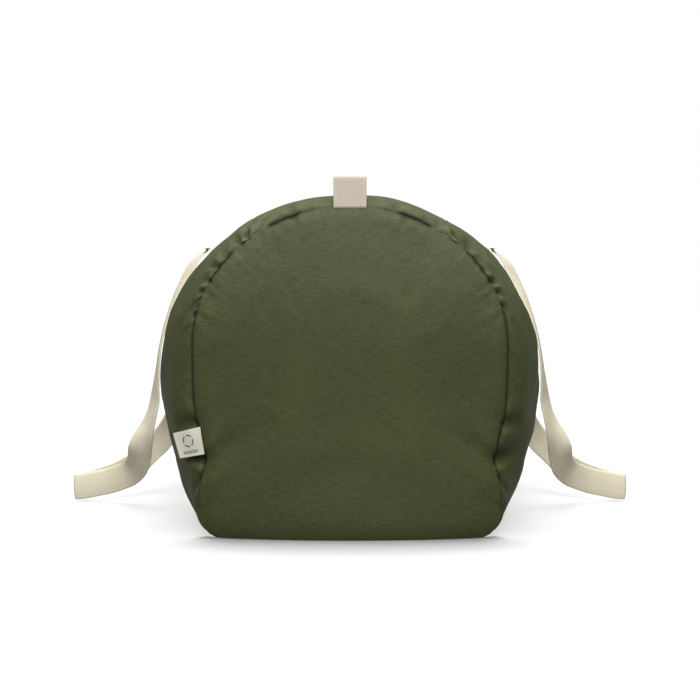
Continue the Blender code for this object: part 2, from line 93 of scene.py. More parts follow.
camera = bpy.data.objects.new("camera", bpy.data.cameras.new("camera"))
bpy.context.scene.collection.objects.link(camera)
camera.location = (0, NEAR_SEAM - CAMERA_DISTANCE, CAMERA_HEIGHT)
camera.rotation_euler = (math.radians(90 - CAMERA_TILT), 0, 0)
camera.data.sensor_width = 36
camera.data.lens = 73.5
camera.data.clip_start = 0.05
bpy.context.scene.camera = camera
bpy.context.scene.view_settings.view_transform = "Standard"


def area_light(name, place, target, size, power):
    light = bpy.data.lights.new(name, "AREA")
    light.shape = "RECTANGLE"
    light.size, light.size_y = size
    light.energy = power
    obj = bpy.data.objects.new(name, light)
    obj.location = place
    obj.rotation_euler = (Vector(target) - Vector(place)).to_track_quat("-Z", "Y").to_euler()
    obj.visible_camera = False
    bpy.context.scene.collection.objects.link(obj)


def sun(name, elevation, power, softness):
    """Sunlight that comes from the front, at a height above the horizon in degrees."""
    light = bpy.data.lights.new(name, "SUN")
    light.energy = power * math.pi
    light.angle = math.radians(softness)
    obj = bpy.data.objects.new(name, light)
    obj.rotation_euler = (math.radians(90 - elevation), 0, 0)
    bpy.context.scene.collection.objects.link(obj)


sun("overhead", elevation=97, power=0.42, softness=38)
sun("front", elevation=40, power=0.66, softness=50)
sun("floor_sun", elevation=101, power=2.45, softness=24)
sun("floor_fill", elevation=97, power=1.75, softness=55)
area_light("key", place=(0, -0.56, 0.80), target=(0, -0.24, 0.22), size=(0.8, 0.3), power=2.8)

# ---------------------------------------------------------------- node trees


def feed(value, socket):
    """Links a value to an input, or sets the input to a plain number or colour."""
    if isinstance(value, Value):
        value.tree.links.new(value.socket, socket)
    else:
        socket.default_value = value


class Value:
    """An output in a node tree. Arithmetic on it adds math nodes."""

    def __init__(self, tree, socket):
        self.tree, self.socket = tree, socket

    def math(self, operation, *others):
        node = self.tree.nodes.new("ShaderNodeMath")
        node.operation = operation
        for value, socket in zip((self, *others), node.inputs):
            feed(value, socket)
        return Value(self.tree, node.outputs[0])

    def __add__(self, other):
        return self.math("ADD", other)

    def __sub__(self, other):
        return self.math("SUBTRACT", other)

    def __mul__(self, other):
        return self.math("MULTIPLY", other)

    def __abs__(self):
        return self.math("ABSOLUTE")

    def wave(self, length):
        return (self * (2 * math.pi / length)).math("SINE")

    def span(self, low, high, to_low, to_high, smooth=False):
        node = self.tree.nodes.new("ShaderNodeMapRange")
        node.interpolation_type = "SMOOTHSTEP" if smooth else "LINEAR"
        for value, socket in zip((self, low, high, to_low, to_high), node.inputs):
            feed(value, socket)
        return Value(self.tree, node.outputs[0])


class Nodes:
    """A node tree in the making."""

    def __init__(self, owner):
        owner.use_nodes = True
        self.tree = owner.node_tree

    def value(self, kind, output=0, inputs=(), **settings):
        """The output of a new node with these settings and inputs."""
        node = self.tree.nodes.new(f"ShaderNode{kind}")
        for key, setting in settings.items():
            setattr(node, key, setting)
        for key, given in dict(inputs).items():
            feed(given, node.inputs[key])
        return Value(self.tree, node.outputs[output])

    def split(self, vector):
        node = self.tree.nodes.new("ShaderNodeSeparateXYZ")
        feed(vector, node.inputs[0])
        return [Value(self.tree, socket) for socket in node.outputs]

    def uv(self):
        return self.split(self.value("UVMap", uv_map="cloth"))[:2]

    def place(self, kind="Object"):
        return self.value("TexCoord", kind)

    def noise(self, vector, scale=1.0, detail=2.0, rough=0.5):
        if isinstance(vector, tuple):
            vector = self.value("CombineXYZ", inputs=dict(enumerate(vector)))
        inputs = {"Vector": vector, "Scale": scale, "Detail": detail, "Roughness": rough}
        return self.value("TexNoise", "Fac", inputs)

    def attribute(self, name):
        return self.value("Attribute", "Fac", attribute_name=name)

    def mix(self, share, a, b, blend="MIX"):
        return self.value("Mix", 2, {0: share, 6: a, 7: b}, data_type="RGBA", blend_type=blend)


class Look(Nodes):
    """A node material in the making."""

    def __init__(self, name, roughness=0.85, metallic=0.0, sheen=0.0, specular=0.3):
        self.material = bpy.data.materials.new(name)
        super().__init__(self.material)
        self.inputs = self.tree.nodes["Principled BSDF"].inputs
        self.inputs["Roughness"].default_value = roughness
        self.inputs["Metallic"].default_value = metallic
        self.inputs["Specular IOR Level"].default_value = specular
        self.inputs["Sheen Weight"].default_value = sheen
        self.inputs["Sheen Roughness"].default_value = 0.45

    def tinted(self, colour, tone):
        """A colour made lighter or darker by a tone around 1."""
        colour = colour if isinstance(colour, Value) else (*colour, 1)
        grey = self.value("CombineColor", inputs=dict.fromkeys(range(3), tone))
        return self.mix(1.0, colour, grey, "MULTIPLY")

    def dye(self, colour, tone):
        feed(self.tinted(colour, tone), self.inputs["Base Color"])

    def bump(self, *layers):
        """Layers of (height in metres, strength), the coarsest first."""
        normal = {}
        for height, strength in layers:
            inputs = {"Distance": 1.0, "Strength": strength, "Height": height, **normal}
            normal = {"Normal": self.value("Bump", inputs=inputs)}
        feed(normal["Normal"], self.inputs["Normal"])


def studio_world(low, high, sides, behind):
    """A room that is brighter above than below, darker at the sides and behind, seen as plain white."""
    world = bpy.data.worlds.new("studio")
    bpy.context.scene.world = world
    n = Nodes(world)
    background = n.tree.nodes["Background"]
    background.inputs["Color"].default_value = (1, 1, 1, 1)
    x, y, z = n.split(n.place("Generated"))
    flags = abs(x).span(0.25, 1, 1, sides) * y.span(0.2, 1, 1, behind)
    light = z.span(-0.6, 1, low, high) * flags
    seen = n.value("Mix", 0, {0: n.value("LightPath", "Is Camera Ray"), 2: light, 3: 1.0})
    feed(seen, background.inputs["Strength"])


studio_world(low=0.14, high=0.66, sides=0.04, behind=0.35)

# ---------------------------------------------------------------- materials


def canvas_material(name, colour, lit_top, pitch=0.00075):
    """Plain-woven cotton canvas: threads, slubs, pale flecks, a painted highlight on proud folds, painted
    shade in the seams and fold valleys, and a top painted paler for the light from above.
    """
    m = Look(name, roughness=0.7, specular=0.10)
    u, v = m.uv()
    wobble = m.noise((u, v), 300, 1) * 0.0011
    weave = (u + wobble).wave(pitch) * (v + wobble).wave(pitch)
    slub_u = m.noise((u * 110, v * 1100), 1, 2, 0.6)
    slub_v = m.noise((u * 1100, v * 110), 1, 2, 0.6)
    fleck = m.noise((u, v), 760, 1).span(0.70, 0.80, 0, 1)
    cloud = m.noise(m.place(), 9, 3, 0.55)
    tone = slub_u.span(0.25, 0.75, -0.27, 0.27) + slub_v.span(0.25, 0.75, -0.15, 0.15)
    tone = tone + weave * 0.05 + cloud.span(0.3, 0.7, -0.05, 0.05) + fleck * 0.35
    # painted highlight: this channel lightens the proud folds of the canvas
    tone = tone + m.attribute("wear_and_painted_highlight") * 0.30 + 1.0
    # painted light: the canvas turns paler and greyer towards the top, standing in for the light from
    # above
    height = m.split(m.place())[2].span(0.14, 0.31, 0, 1, smooth=True)
    # painted shade: the canvas is darkened in the seams and in the valleys of the folds
    m.dye(m.mix(height, (*colour, 1), (*lit_top, 1)), tone * m.attribute("painted_shade").span(0, 1, 1.0, 0.12))
    feed(slub_u.span(0.3, 0.7, 0.62, 0.76), m.inputs["Roughness"])
    lumps = m.noise((u, v), 130, 3) * 0.0006
    threads = (weave + slub_u.span(0.3, 0.7, -0.8, 0.8)) * 0.00006
    m.bump((lumps, 0.35), (threads, 0.8))
    return m.material


def webbing_material(name, colour, column=0.0060, pitch=0.0019, strength=1.0):
    """Herringbone cotton webbing. u runs across the strap from its middle and v along it."""
    m = Look(name, roughness=0.88, sheen=0.06, specular=0.15)
    u, v = m.uv()
    zigzag = (u + 0.015).math("PINGPONG", column)
    rib = (v + zigzag + m.noise((u, v), 160, 1) * 0.0012).wave(pitch)
    valley = (u + 0.015).math("PINGPONG", column / 2).span(0, 0.0008, 1, 0)
    fibre = m.noise((u * 900, v * 260), 1, 3, 0.6)
    cloud = m.noise(m.place(), 22, 2)
    tone = rib * (0.17 * strength) + fibre.span(0.3, 0.7, -0.07, 0.07) + cloud.span(0.3, 0.7, -0.05, 0.05)
    # the rounded edges of the webbing are made lighter, as worn
    m.dye(colour, tone + valley * -0.05 + m.attribute("wear_and_painted_highlight") * 0.10 + 1.0)
    m.bump((rib * 0.00013 + valley * -0.0001 + fibre * 0.00010, 0.9 * strength))
    return m.material


def plain_cloth_material(name, colour, grain=1400):
    """Close-woven tape seen from afar: no cloth coordinates are needed."""
    m = Look(name, roughness=0.9, specular=0.1)
    fine = m.noise(m.place(), grain, 3, 0.6)
    broad = m.noise(m.place(), 30, 2)
    m.dye(colour, fine.span(0.3, 0.7, 0.8, 1.15) + broad.span(0.3, 0.7, -0.06, 0.06))
    m.bump((fine * 0.00012, 0.7))
    return m.material


def label_material():
    """Woven label with a broken ring and a row of dashes. u runs out from the seam and v up, in metres."""
    m = Look("label_cloth", roughness=0.85, sheen=0.05, specular=0.12)
    u, v = m.uv()
    du, dv = u - 0.0148, v - 0.0150  # from the ring's middle
    away = (du * du + dv * dv).math("SQRT")
    arcs = (dv.math("ARCTAN2", du) * 4).math("SINE").span(-0.75, -0.6, 0, 1)
    ring = abs(away - 0.0054).span(0.0005, 0.0008, 1, 0) * arcs
    row = abs(v - 0.0042).span(0.0014, 0.0017, 1, 0) * abs(du).span(0.0080, 0.0083, 1, 0)
    mark = ring.math("MAXIMUM", row * u.wave(0.0017).span(-0.4, -0.1, 0, 1))
    weave = v.wave(0.00035)
    fibre = m.noise((u * 1500, v * 600), 1, 2)
    cloth = m.tinted((0.88, 0.85, 0.73), fibre.span(0.3, 0.7, 0.9, 1.06) + weave * 0.04)
    feed(m.mix(mark * 0.86, cloth, (0.06, 0.06, 0.045, 1)), m.inputs["Base Color"])
    m.bump((weave * 0.00003, 0.8))
    return m.material


def thread_material(name, colour):
    m = Look(name, roughness=0.7, sheen=0.3)
    drawn = m.value("Mapping", inputs={"Vector": m.place(), "Scale": (2200, 700, 700)})
    fibre = m.noise(drawn, 1, 2)
    m.dye(colour, fibre.span(0.3, 0.7, 0.8, 1.15))
    m.bump((fibre * 0.0001, 0.6))
    return m.material


def tape_material(name, colour):
    """Ribbed polyester zip tape."""
    m = Look(name, roughness=0.75, sheen=0.15)
    u, v = m.uv()
    rib = v.wave(0.0007)
    m.dye(colour, m.noise((u * 900, v * 500), 1, 2).span(0.3, 0.7, 0.85, 1.12) + rib * 0.10)
    m.bump((rib * 0.00006, 0.8))
    return m.material


def hard_material(name, colour, roughness, metallic, grain=400, depth=0.00004, specular=0.5):
    m = Look(name, roughness=roughness, metallic=metallic, specular=specular)
    fine = m.noise(m.place(), grain, 3)
    m.dye(colour, m.noise(m.place(), grain / 12, 2).span(0.3, 0.7, 0.88, 1.1))
    feed(fine.span(0.3, 0.7, roughness - 0.07, roughness + 0.1), m.inputs["Roughness"])
    m.bump((fine * depth, 0.6))
    return m.material


GREEN = (0.0590, 0.0660, 0.0255)
# the paler, greyer green painted over the top of the canvas for the light from above
TOP_LIT_GREEN = (0.087, 0.096, 0.0495)
canvas = canvas_material("green_canvas", GREEN, TOP_LIT_GREEN)
webbing = webbing_material("natural_webbing", (0.86, 0.79, 0.60))
# the tab's webbing is darker than the handles': partly its own pinker tone, partly painted shade
tab_webbing = webbing_material("tab_webbing", (0.52, 0.46, 0.375), strength=0.5)
narrow_webbing = webbing_material("narrow_webbing", (0.62, 0.56, 0.44), 0.0015, 0.0008, 0.6)
green_thread = thread_material("green_thread", (0.085, 0.092, 0.042))
beige_thread = thread_material("beige_thread", (0.60, 0.54, 0.42))
tab_thread = thread_material("tab_thread", (0.56, 0.50, 0.41))
label_cloth = label_material()
zip_cloth = tape_material("zip_tape_cloth", (0.030, 0.034, 0.018))
coil_plastic = hard_material("coil_nylon", (0.028, 0.032, 0.018), 0.42, 0.0, 900, 0.00002)
metal = hard_material("slider_metal", (0.38, 0.36, 0.33), 0.30, 1.0, 1500, 0.00001)
board_plastic = hard_material("board_plastic", (0.035, 0.035, 0.036), 0.55, 0.0, 500, 0.00005, 0.4)
binding = plain_cloth_material("binding_tape", (0.030, 0.034, 0.018))

# ---------------------------------------------------------------- floor

floor_look = Look("floor", roughness=0.9, specular=0.1)
unevenness = floor_look.noise(floor_look.place(), 3, 2).span(0.3, 0.7, 0.99, 1.01)
floor_look.dye((0.26, 0.26, 0.2585), unevenness)

bpy.ops.mesh.primitive_plane_add(size=14, location=(0, 3.0, -0.0004))
floor = bpy.context.active_object
floor.name = "floor"
floor.data.materials.append(floor_look.material)
floor.visible_diffuse = False
floor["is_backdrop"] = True
for light in ("key", "overhead", "front", "floor_sun", "floor_fill"):
    lit = bpy.data.collections.new(f"{light}_reach")
    lit.objects.link(floor)
    bpy.data.objects[light].light_linking.receiver_collection = lit
    reach = "INCLUDE" if light.startswith("floor") else "EXCLUDE"
    lit.collection_objects[0].light_linking.link_state = reach

# ---------------------------------------------------------------- small tools


def mesh_object(name, points, faces, material, uv=None, attributes=None):
    """uv holds a point's cloth coordinates in metres, one pair per vertex."""
    mesh = bpy.data.meshes.new(name)
    mesh.from_pydata(np.asarray(points, float).tolist(), [], [tuple(map(int, f)) for f in faces])
    mesh.materials.append(material)
    mesh.shade_smooth()
    if uv is not None:
        layer = mesh.uv_layers.new(name="cloth")
        loops = np.empty(len(mesh.loops), int)
        mesh.loops.foreach_get("vertex_index", loops)
        layer.data.foreach_set("uv", np.asarray(uv, float)[loops].astype(np.float32).ravel())
    for key, values in (attributes or {}).items():
        made = mesh.attributes.new(key, "FLOAT", "POINT")
        made.data.foreach_set("value", np.asarray(values, np.float32).ravel())
    obj = bpy.data.objects.new(name, mesh)
    bpy.context.scene.collection.objects.link(obj)
    return obj


def grid_faces(rows, columns, flip=False, wrap=False):
    i, j = np.meshgrid(np.arange(rows - 1), np.arange(columns if wrap else columns - 1), indexing="ij")
    a, k = i * columns + j, (j + 1) % columns
    quads = np.stack([a, i * columns + k, (i + 1) * columns + k, a + columns], -1).reshape(-1, 4)
    return quads[:, ::-1] if flip else quads


def apply_modifiers(obj):
    bpy.context.view_layer.update()
    depsgraph = bpy.context.evaluated_depsgraph_get()
    mesh = bpy.data.meshes.new_from_object(
        obj.evaluated_get(depsgraph), preserve_all_data_layers=True, depsgraph=depsgraph
    )
    obj.modifiers.clear()
    obj.data = mesh
    return obj


def thicken(obj, thickness, offset=-1.0):
    shell = obj.modifiers.new("thickness", "SOLIDIFY")
    shell.thickness = thickness
    shell.offset = offset
    apply_modifiers(obj)
    obj.data.set_sharp_from_angle(angle=math.radians(60))
    return obj


def ripple(u, v, wavelength, seed, waves=7):
    """Smooth, repeatable unevenness between about -1 and 1."""
    rng = np.random.default_rng(seed)
    total = np.zeros(np.broadcast(u, v).shape)
    for _ in range(waves):
        angle, phase = rng.uniform(0, 2 * math.pi, 2)
        k = 2 * math.pi / (wavelength * rng.uniform(0.7, 1.5))
        total = total + np.sin(k * (u * math.cos(angle) + v * math.sin(angle)) + phase)
    return total / math.sqrt(waves * 1.5)


def smoothstep(x):
    x = np.clip(x, 0, 1)
    return x * x * (3 - 2 * x)


# ---------------------------------------------------------------- the stuffed body


def swell(distance, reach):
    return math.sqrt(1 - (1 - min(max(distance / reach, 0), 1)) ** 2)


def section(y):
    from_seam = LENGTH / 2 - abs(y)
    side, top, narrowing = (swell(from_seam, reach) for reach in (0.150, 0.040, 0.050))
    return (
        END["half"] + (MID["half"] - END["half"]) * side,
        END["widest"] + (MID["widest"] - END["widest"]) * top,
        END["height"] + (MID["height"] - END["height"]) * top,
        END["taper"] + (MID["taper"] - END["taper"]) * narrowing,
    )


CORNER_STEPS, SIDE_STEPS, ARCH_STEPS, TOP_STEPS = 12, 56, 72, 36


def half_profile(y):
    """(x, z) of every column of the right half at y: the corner, the side, the arch and the zip panel."""
    half, widest, height, taper = section(y)

    def side_x(z):
        reach = np.where(np.asarray(z) > DENT_AT, DENT_HEIGHT * 1.6, DENT_HEIGHT)
        away = ((LENGTH / 2 - abs(y)) / DENT_REACH) ** 2 + ((z - DENT_AT) / reach) ** 2
        return half * (1 - taper * (np.maximum(widest - z, 0) / widest) ** 2) - DENT * np.exp(-away)

    lean = math.atan(half * taper * 2 / widest)
    top_z = CORNER * (1 - math.sin(lean))
    centre_x = side_x(top_z) - CORNER * math.cos(lean)
    angles = np.linspace(-math.pi / 2, -lean, CORNER_STEPS + 1)
    x = [centre_x + CORNER * np.cos(angles)]
    z = [CORNER * (1 + np.sin(angles))]
    rise = np.linspace(z[0][-1], widest, SIDE_STEPS + 1)[1:]
    x.append(side_x(rise))
    z.append(rise)
    for first, last, steps in (
        (math.pi / 2, math.asin(HINGE_X / half), ARCH_STEPS),
        (math.asin(HINGE_X / half), math.asin(EDGE_X / half), TOP_STEPS),
    ):
        turn = np.linspace(first, last, steps + 1)[1:]
        x.append(half * np.sin(turn))
        z.append(widest + (height - widest) * np.cos(turn))
    return np.concatenate(x), np.concatenate(z)


HINGE_COLUMN = CORNER_STEPS + SIDE_STEPS + ARCH_STEPS
NEAR_ROWS = (0, 0.35, 0.8, 1.4, 2.1, 3.0, 4.1, 5.4, 7, 9, 11.5, 14.5, 18, 22, 26.5, 31.5, 37, 43, 49.5)
NEAR_ROWS = np.array(NEAR_ROWS) / 1000
MIDDLE = np.linspace(0.0555, LENGTH - 0.0555, 78)
STATIONS = np.concatenate([NEAR_ROWS, MIDDLE, LENGTH - NEAR_ROWS[::-1]]) - LENGTH / 2

outline_x, outline_z = half_profile(LENGTH / 2)
# distance round the end seam, from the base's edge up to the zip
ROUND = np.concatenate([[0], np.cumsum(np.hypot(np.diff(outline_x), np.diff(outline_z)))])


def round_at(x, z):
    return ROUND[np.argmin(np.hypot(outline_x - abs(x), outline_z - z))]


def bump(value, centre, width):
    return np.exp(-(((value - centre) / width) ** 2))


def between(value, low, high, soft):
    return smoothstep((value - low + soft) / soft) * smoothstep((high + soft - value) / soft)


def stretch(low, high, depth, shade, soft=0.005):
    """A stretch of the end seam that is pulled in: from and to as (x, z), its depth and how dark its
    painted shade is.
    """
    ends = sorted((round_at(*low), round_at(*high)))
    return (*ends, depth, shade, soft)


SEAM_STRETCHES = (
    stretch((0.0464, 0.2911), (0.0709, 0.2802), 0.0030, 1.00),
    stretch((0.0337, 0.2983), (0.0464, 0.2911), 0.0012, 0.55),
    stretch((0.1075, 0.2600), (0.1290, 0.2330), 0.0014, 1.00, 0.003),
    stretch((0.1428, 0.2040), (0.1390, 0.1064), 0.0010, 0.75, 0.010),
    stretch((0.1390, 0.1064), (0.1330, 0.0800), 0.0014, 0.90, 0.006),
    stretch((0.1325, 0.0740), (0.1325, 0.0655), 0.0032, 1.00, 0.004),
    stretch((0.1340, 0.0620), (0.1370, 0.0300), 0.0010, 0.60, 0.008),
)
SHOULDER = round_at(0.141, 0.20), round_at(0.03, 0.298)
TUCK = round_at(0.0880, 0.2736)
KINK = round_at(0.1326, 0.070)


def seam_depth(r, seed):
    """How deep the end seam is pulled in, along its length."""
    depth = 0.0003 + 0.0001 * ripple(r, 0 * r, 0.03, seed)
    for low, high, more, _, soft in SEAM_STRETCHES:
        depth = depth + more * between(r, low, high, soft)
    return depth


def seam_open(r):
    """1 where the end seam shows as a gap, 0 where the cloth rolls over it smoothly."""
    return np.max([between(r, low, high, soft) for low, high, _, _, soft in SEAM_STRETCHES], 0)


# how dark the painted shade along the end seam is
def seam_shade(r):
    shade = np.full(np.shape(r), 0.05)
    for low, high, _, dark, soft in SEAM_STRETCHES:
        shade = np.maximum(shade, dark * between(r, low, high, soft))
    return shade


# how wide the painted shade along the end seam spreads
def shade_width(r):
    return 0.0009 + 0.35 * seam_depth(r, 23)


def pleats(seed, count):
    """Puckers that run off the end seam: (start round, end round, length, width, depth)."""
    rng = np.random.default_rng(seed)
    made = []
    for n in range(count):
        shoulder = rng.random() < 0.62
        start = rng.uniform(*(SHOULDER if shoulder else (0.0, ROUND[-1])))
        length = rng.uniform(*((0.010, 0.034) if shoulder else (0.008, 0.022)))
        lean = rng.normal(0, 0.35)
        width = rng.uniform(0.0020, 0.0044)
        depth = rng.uniform(*((0.0007, 0.0021) if shoulder else (0.0003, 0.0010)))
        made.append((start, start + lean * length, length, width, depth))
    return made


# the creases that the near end shows: (start, end round, start, end depth from the seam, width, depth)
SHOWN = [
    (TUCK - 0.007, TUCK - 0.021, 0.0065, 0.0080, 0.0042, 0.0038),
    (round_at(0.1345, 0.238), round_at(0.1345, 0.238) + 0.003, 0.0, 0.014, 0.0028, 0.0030),
    (round_at(0.1385, 0.225), round_at(0.1385, 0.225) + 0.002, 0.0, 0.012, 0.0026, 0.0028),
    (round_at(0.1415, 0.213), round_at(0.1415, 0.213) + 0.001, 0.0, 0.011, 0.0024, 0.0022),
    (KINK + 0.003, KINK + 0.030, 0.0, 0.036, 0.0060, 0.0052),
    (KINK + 0.036, KINK + 0.056, 0.0, 0.030, 0.0048, 0.0032),
    (KINK - 0.016, KINK - 0.030, 0.0, 0.026, 0.0055, 0.0020),
]


def crease(r, d, r0, r1, d0, d1, width, depth):
    """A valley with a lip on each side, from (r0, d0) to (r1, d1), fading out at its far end."""
    run = np.array([r1 - r0, d1 - d0])
    length = np.hypot(*run)
    along = ((r - r0) * run[0] + (d - d0) * run[1]) / length**2
    inside = np.clip(along, 0, 1)
    away = np.hypot(r - r0 - inside * run[0], d - d0 - inside * run[1])
    wide = width * (0.7 + 0.9 * inside)
    fade = (1 - inside) ** 0.8 * smoothstep(1 - np.clip((along - 1) * 3, 0, 1))
    valley, lip = bump(away, 0, wide), bump(away, 2.1 * wide, wide)
    return -depth * fade * (valley - 0.55 * lip)


def blurred(values, reach, passes=2):
    kernel = np.ones(2 * reach + 1) / (2 * reach + 1)
    for _ in range(passes):
        for axis in (0, 1):
            margin = [(reach, reach) if n == axis else (0, 0) for n in (0, 1)]
            wide = np.pad(values, margin, mode="reflect")
            values = np.apply_along_axis(np.convolve, axis, wide, kernel, "valid")
    return values


def settled(points, normals, held, growth, pressure, frames=20, most=0.003):
    """Cloth simulation of a slightly slack panel, sewn down where held: how far each point of a grid moves
    along its normal. Only folds are kept, so the panel stays where it was on the whole."""
    scene = bpy.context.scene
    rows, columns = held.shape
    obj = mesh_object("settling", points.reshape(-1, 3), grid_faces(rows, columns), canvas)
    sewn = obj.vertex_groups.new(name="sewn")
    sewn.add(np.flatnonzero(held.ravel()).tolist(), 1.0, "REPLACE")
    step = obj.modifiers.new("cloth", "CLOTH")
    cloth = step.settings
    cloth.quality = 5
    cloth.mass = 0.2
    cloth.tension_stiffness = cloth.compression_stiffness = 25
    cloth.shear_stiffness = 12
    cloth.bending_stiffness = 0.8
    cloth.vertex_group_mass = "sewn"
    cloth.shrink_min = -growth
    cloth.use_pressure = True
    cloth.uniform_pressure_force = pressure
    cloth.effector_weights.gravity = 0
    step.collision_settings.use_collision = False
    step.point_cache.frame_end = frames
    for number in range(1, frames + 1):
        scene.frame_set(number)
    mesh = obj.evaluated_get(bpy.context.evaluated_depsgraph_get()).data
    moved = np.empty(rows * columns * 3)
    mesh.vertices.foreach_get("co", moved)
    bpy.data.objects.remove(obj)
    scene.frame_set(1)
    shift = np.sum((moved.reshape(points.shape) - points) * normals, -1)
    return np.clip(shift - blurred(shift, 7), -most, most)


def enlarged(values, row_places, column_places):
    """A coarse grid's values at fractional rows and columns."""
    rows, columns = np.arange(values.shape[0]), np.arange(values.shape[1])
    tall = np.array([np.interp(row_places, rows, column) for column in values.T]).T
    return np.array([np.interp(column_places, columns, row) for row in tall])


class Body:
    """The displaced canvas of one half of the wrap: places and normals on a grid of rows along Y."""

    def __init__(self, side):
        self.side = side
        seed = 11 if side < 0 else 23
        rows = [half_profile(y) for y in STATIONS]
        x = np.array([r[0] for r in rows])
        z = np.array([r[1] for r in rows])
        y = np.repeat(STATIONS[:, None], x.shape[1], 1)
        self.flat = np.stack([x, y, z], -1)
        self.normal = self.normals(self.flat)
        step = np.linalg.norm(np.diff(self.flat, axis=0), axis=-1)
        near = np.concatenate([np.zeros((1, x.shape[1])), np.cumsum(step, 0)])
        far = near[-1:] - near
        from_seam = np.minimum(near, far)
        girth = np.linalg.norm(np.diff(self.flat, axis=1), axis=-1)
        self.girth = np.concatenate([np.zeros((len(rows), 1)), np.cumsum(girth, 1)], 1)
        r = np.repeat(ROUND[None, :], len(STATIONS), 0)
        off_floor = smoothstep((z - 0.006) / 0.03)
        off_zip = smoothstep((self.girth[:, -1:] - self.girth) / 0.030)
        off_seam = smoothstep(from_seam / 0.05)
        off_strap = 1 - 0.8 * np.maximum(bump(y, ANCHOR_Y, 0.030), bump(y, -ANCHOR_Y, 0.030))
        sink = 0.0012 * ripple(y, self.girth, 0.13, seed + 1)
        sink += 0.0005 * ripple(y, self.girth, 0.045, seed + 2)
        sink *= off_seam * off_strap
        folds = self.folds(r, near, seed, 1.0) + self.folds(r, far, seed + 5, 0.55)
        sink = (sink + folds) * off_floor * off_zip
        sink += 0.55 * self.slack(sink) * off_strap * off_floor * off_zip
        near_seam = np.exp(-((from_seam / 0.0026) ** 1.5))
        sink -= seam_depth(ROUND, 23)[None, :] * near_seam * smoothstep((z - 0.001) / 0.02)
        # the seam between the side panel and the zip panel, whose end is tucked into the end seam
        from_hinge = self.girth - self.girth[:, HINGE_COLUMN : HINGE_COLUMN + 1]
        clear = smoothstep((from_seam - 0.004) / 0.03)
        sink -= 0.0004 * bump(from_hinge, 0, 0.0016) * clear
        # painted highlight: the proud places of the folds are made lighter
        self.wear_and_painted_highlight = np.clip(sink / 0.002, 0, 1) * 0.5
        # painted shade: dark along the end seam, faint along the seam to the zip panel, and in the valleys
        # of the folds
        shade = np.exp(-((from_seam / shade_width(r)) ** 2)) * seam_shade(r)
        shade = np.maximum(shade, 0.15 * bump(from_hinge, 0, 0.0006) * clear)
        self.painted_shade = np.maximum(shade, 0.55 * np.clip(-folds / 0.0035, 0, 1))
        self.points = self.flat + self.normal * sink[..., None]
        self.normal = self.normals(self.points)

    @staticmethod
    def folds(r, distance, seed, strength):
        """Creases that run off the end seam at this distance."""
        total = np.zeros_like(r)
        for start, end, length, width, depth in pleats(seed, 30):
            total += crease(r, distance, start, end, 0, length, width, depth)
        for *line, width, depth in SHOWN:
            total += crease(r, distance, *line, width, depth * strength)
        return total

    def slack(self, sink):
        """The small folds of slack cloth, simulated on every other row and column."""
        rows, columns = sink.shape
        pick = np.ix_(np.arange(0, rows, 2), np.arange(0, columns, 2))
        points = (self.flat + self.normal * sink[..., None])[pick]
        held = np.zeros(points.shape[:2], bool)
        held[[0, -1]] = held[:, [0, -1]] = True
        shift = settled(points, self.normal[pick], held, 0.012, 1.2)
        return enlarged(shift, np.arange(rows) / 2, np.arange(columns) / 2)

    @staticmethod
    def normals(points):
        along, across = np.gradient(points, axis=0), np.gradient(points, axis=1)
        normal = np.cross(along, across)
        normal /= np.linalg.norm(normal, axis=-1, keepdims=True)
        return -normal if normal[len(normal) // 2, 40, 0] < 0 else normal

    def mirrored(self, points):
        return points * np.array([self.side, 1, 1])

    def piece(self, name, first, last, low=0, high=None):
        high = len(STATIONS) if high is None else high
        cut = np.s_[low:high, first:last]
        points = self.mirrored(self.points[cut])
        rows, columns = points.shape[:2]
        uv = np.stack([self.girth[cut], self.flat[..., 1][cut]], -1).reshape(-1, 2)
        obj = mesh_object(
            name, points.reshape(-1, 3), grid_faces(rows, columns, flip=self.side > 0), canvas, uv,
            {"wear_and_painted_highlight": self.wear_and_painted_highlight[cut], "painted_shade": self.painted_shade[cut]},
        )
        return thicken(obj, CANVAS)

    def column_at(self, girth):
        """The fractional column at a distance round the middle of the bag, from the base's edge."""
        return np.interp(girth, self.girth[MIDDLE_ROW], np.arange(self.girth.shape[1]))

    def at(self, y, column, lift=0.0):
        """Points on the displaced canvas, and its normals there, at any y and any fractional column."""
        y, column = np.broadcast_arrays(np.asarray(y, float), np.asarray(column, float))
        place = np.interp(y, STATIONS, np.arange(len(STATIONS)))
        row = np.clip(place.astype(int), 0, len(STATIONS) - 2)
        left = np.clip(column.astype(int), 0, self.flat.shape[1] - 2)
        down, over = (place - row)[..., None], (column - left)[..., None]

        def sample(grid):
            first = grid[row, left] * (1 - down) + grid[row + 1, left] * down
            second = grid[row, left + 1] * (1 - down) + grid[row + 1, left + 1] * down
            return first * (1 - over) + second * over

        normal = sample(self.normal)
        normal /= np.linalg.norm(normal, axis=-1, keepdims=True)
        return self.mirrored(sample(self.points) + normal * lift), self.mirrored(normal)


LEFT, RIGHT = Body(-1), Body(1)
MIDDLE_ROW = len(STATIONS) // 2


def opening(piece, side, end):
    """A piece of one half of the mouth, from the end of the zip to the middle, with its transform baked
    into the mesh.
    """
    sign = -1 if end == "near" else 1
    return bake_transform(piece, "bag", f"{side}_mouth", (0, sign * 0.184, 0.3), (0, sign * 0.030, 0.3))


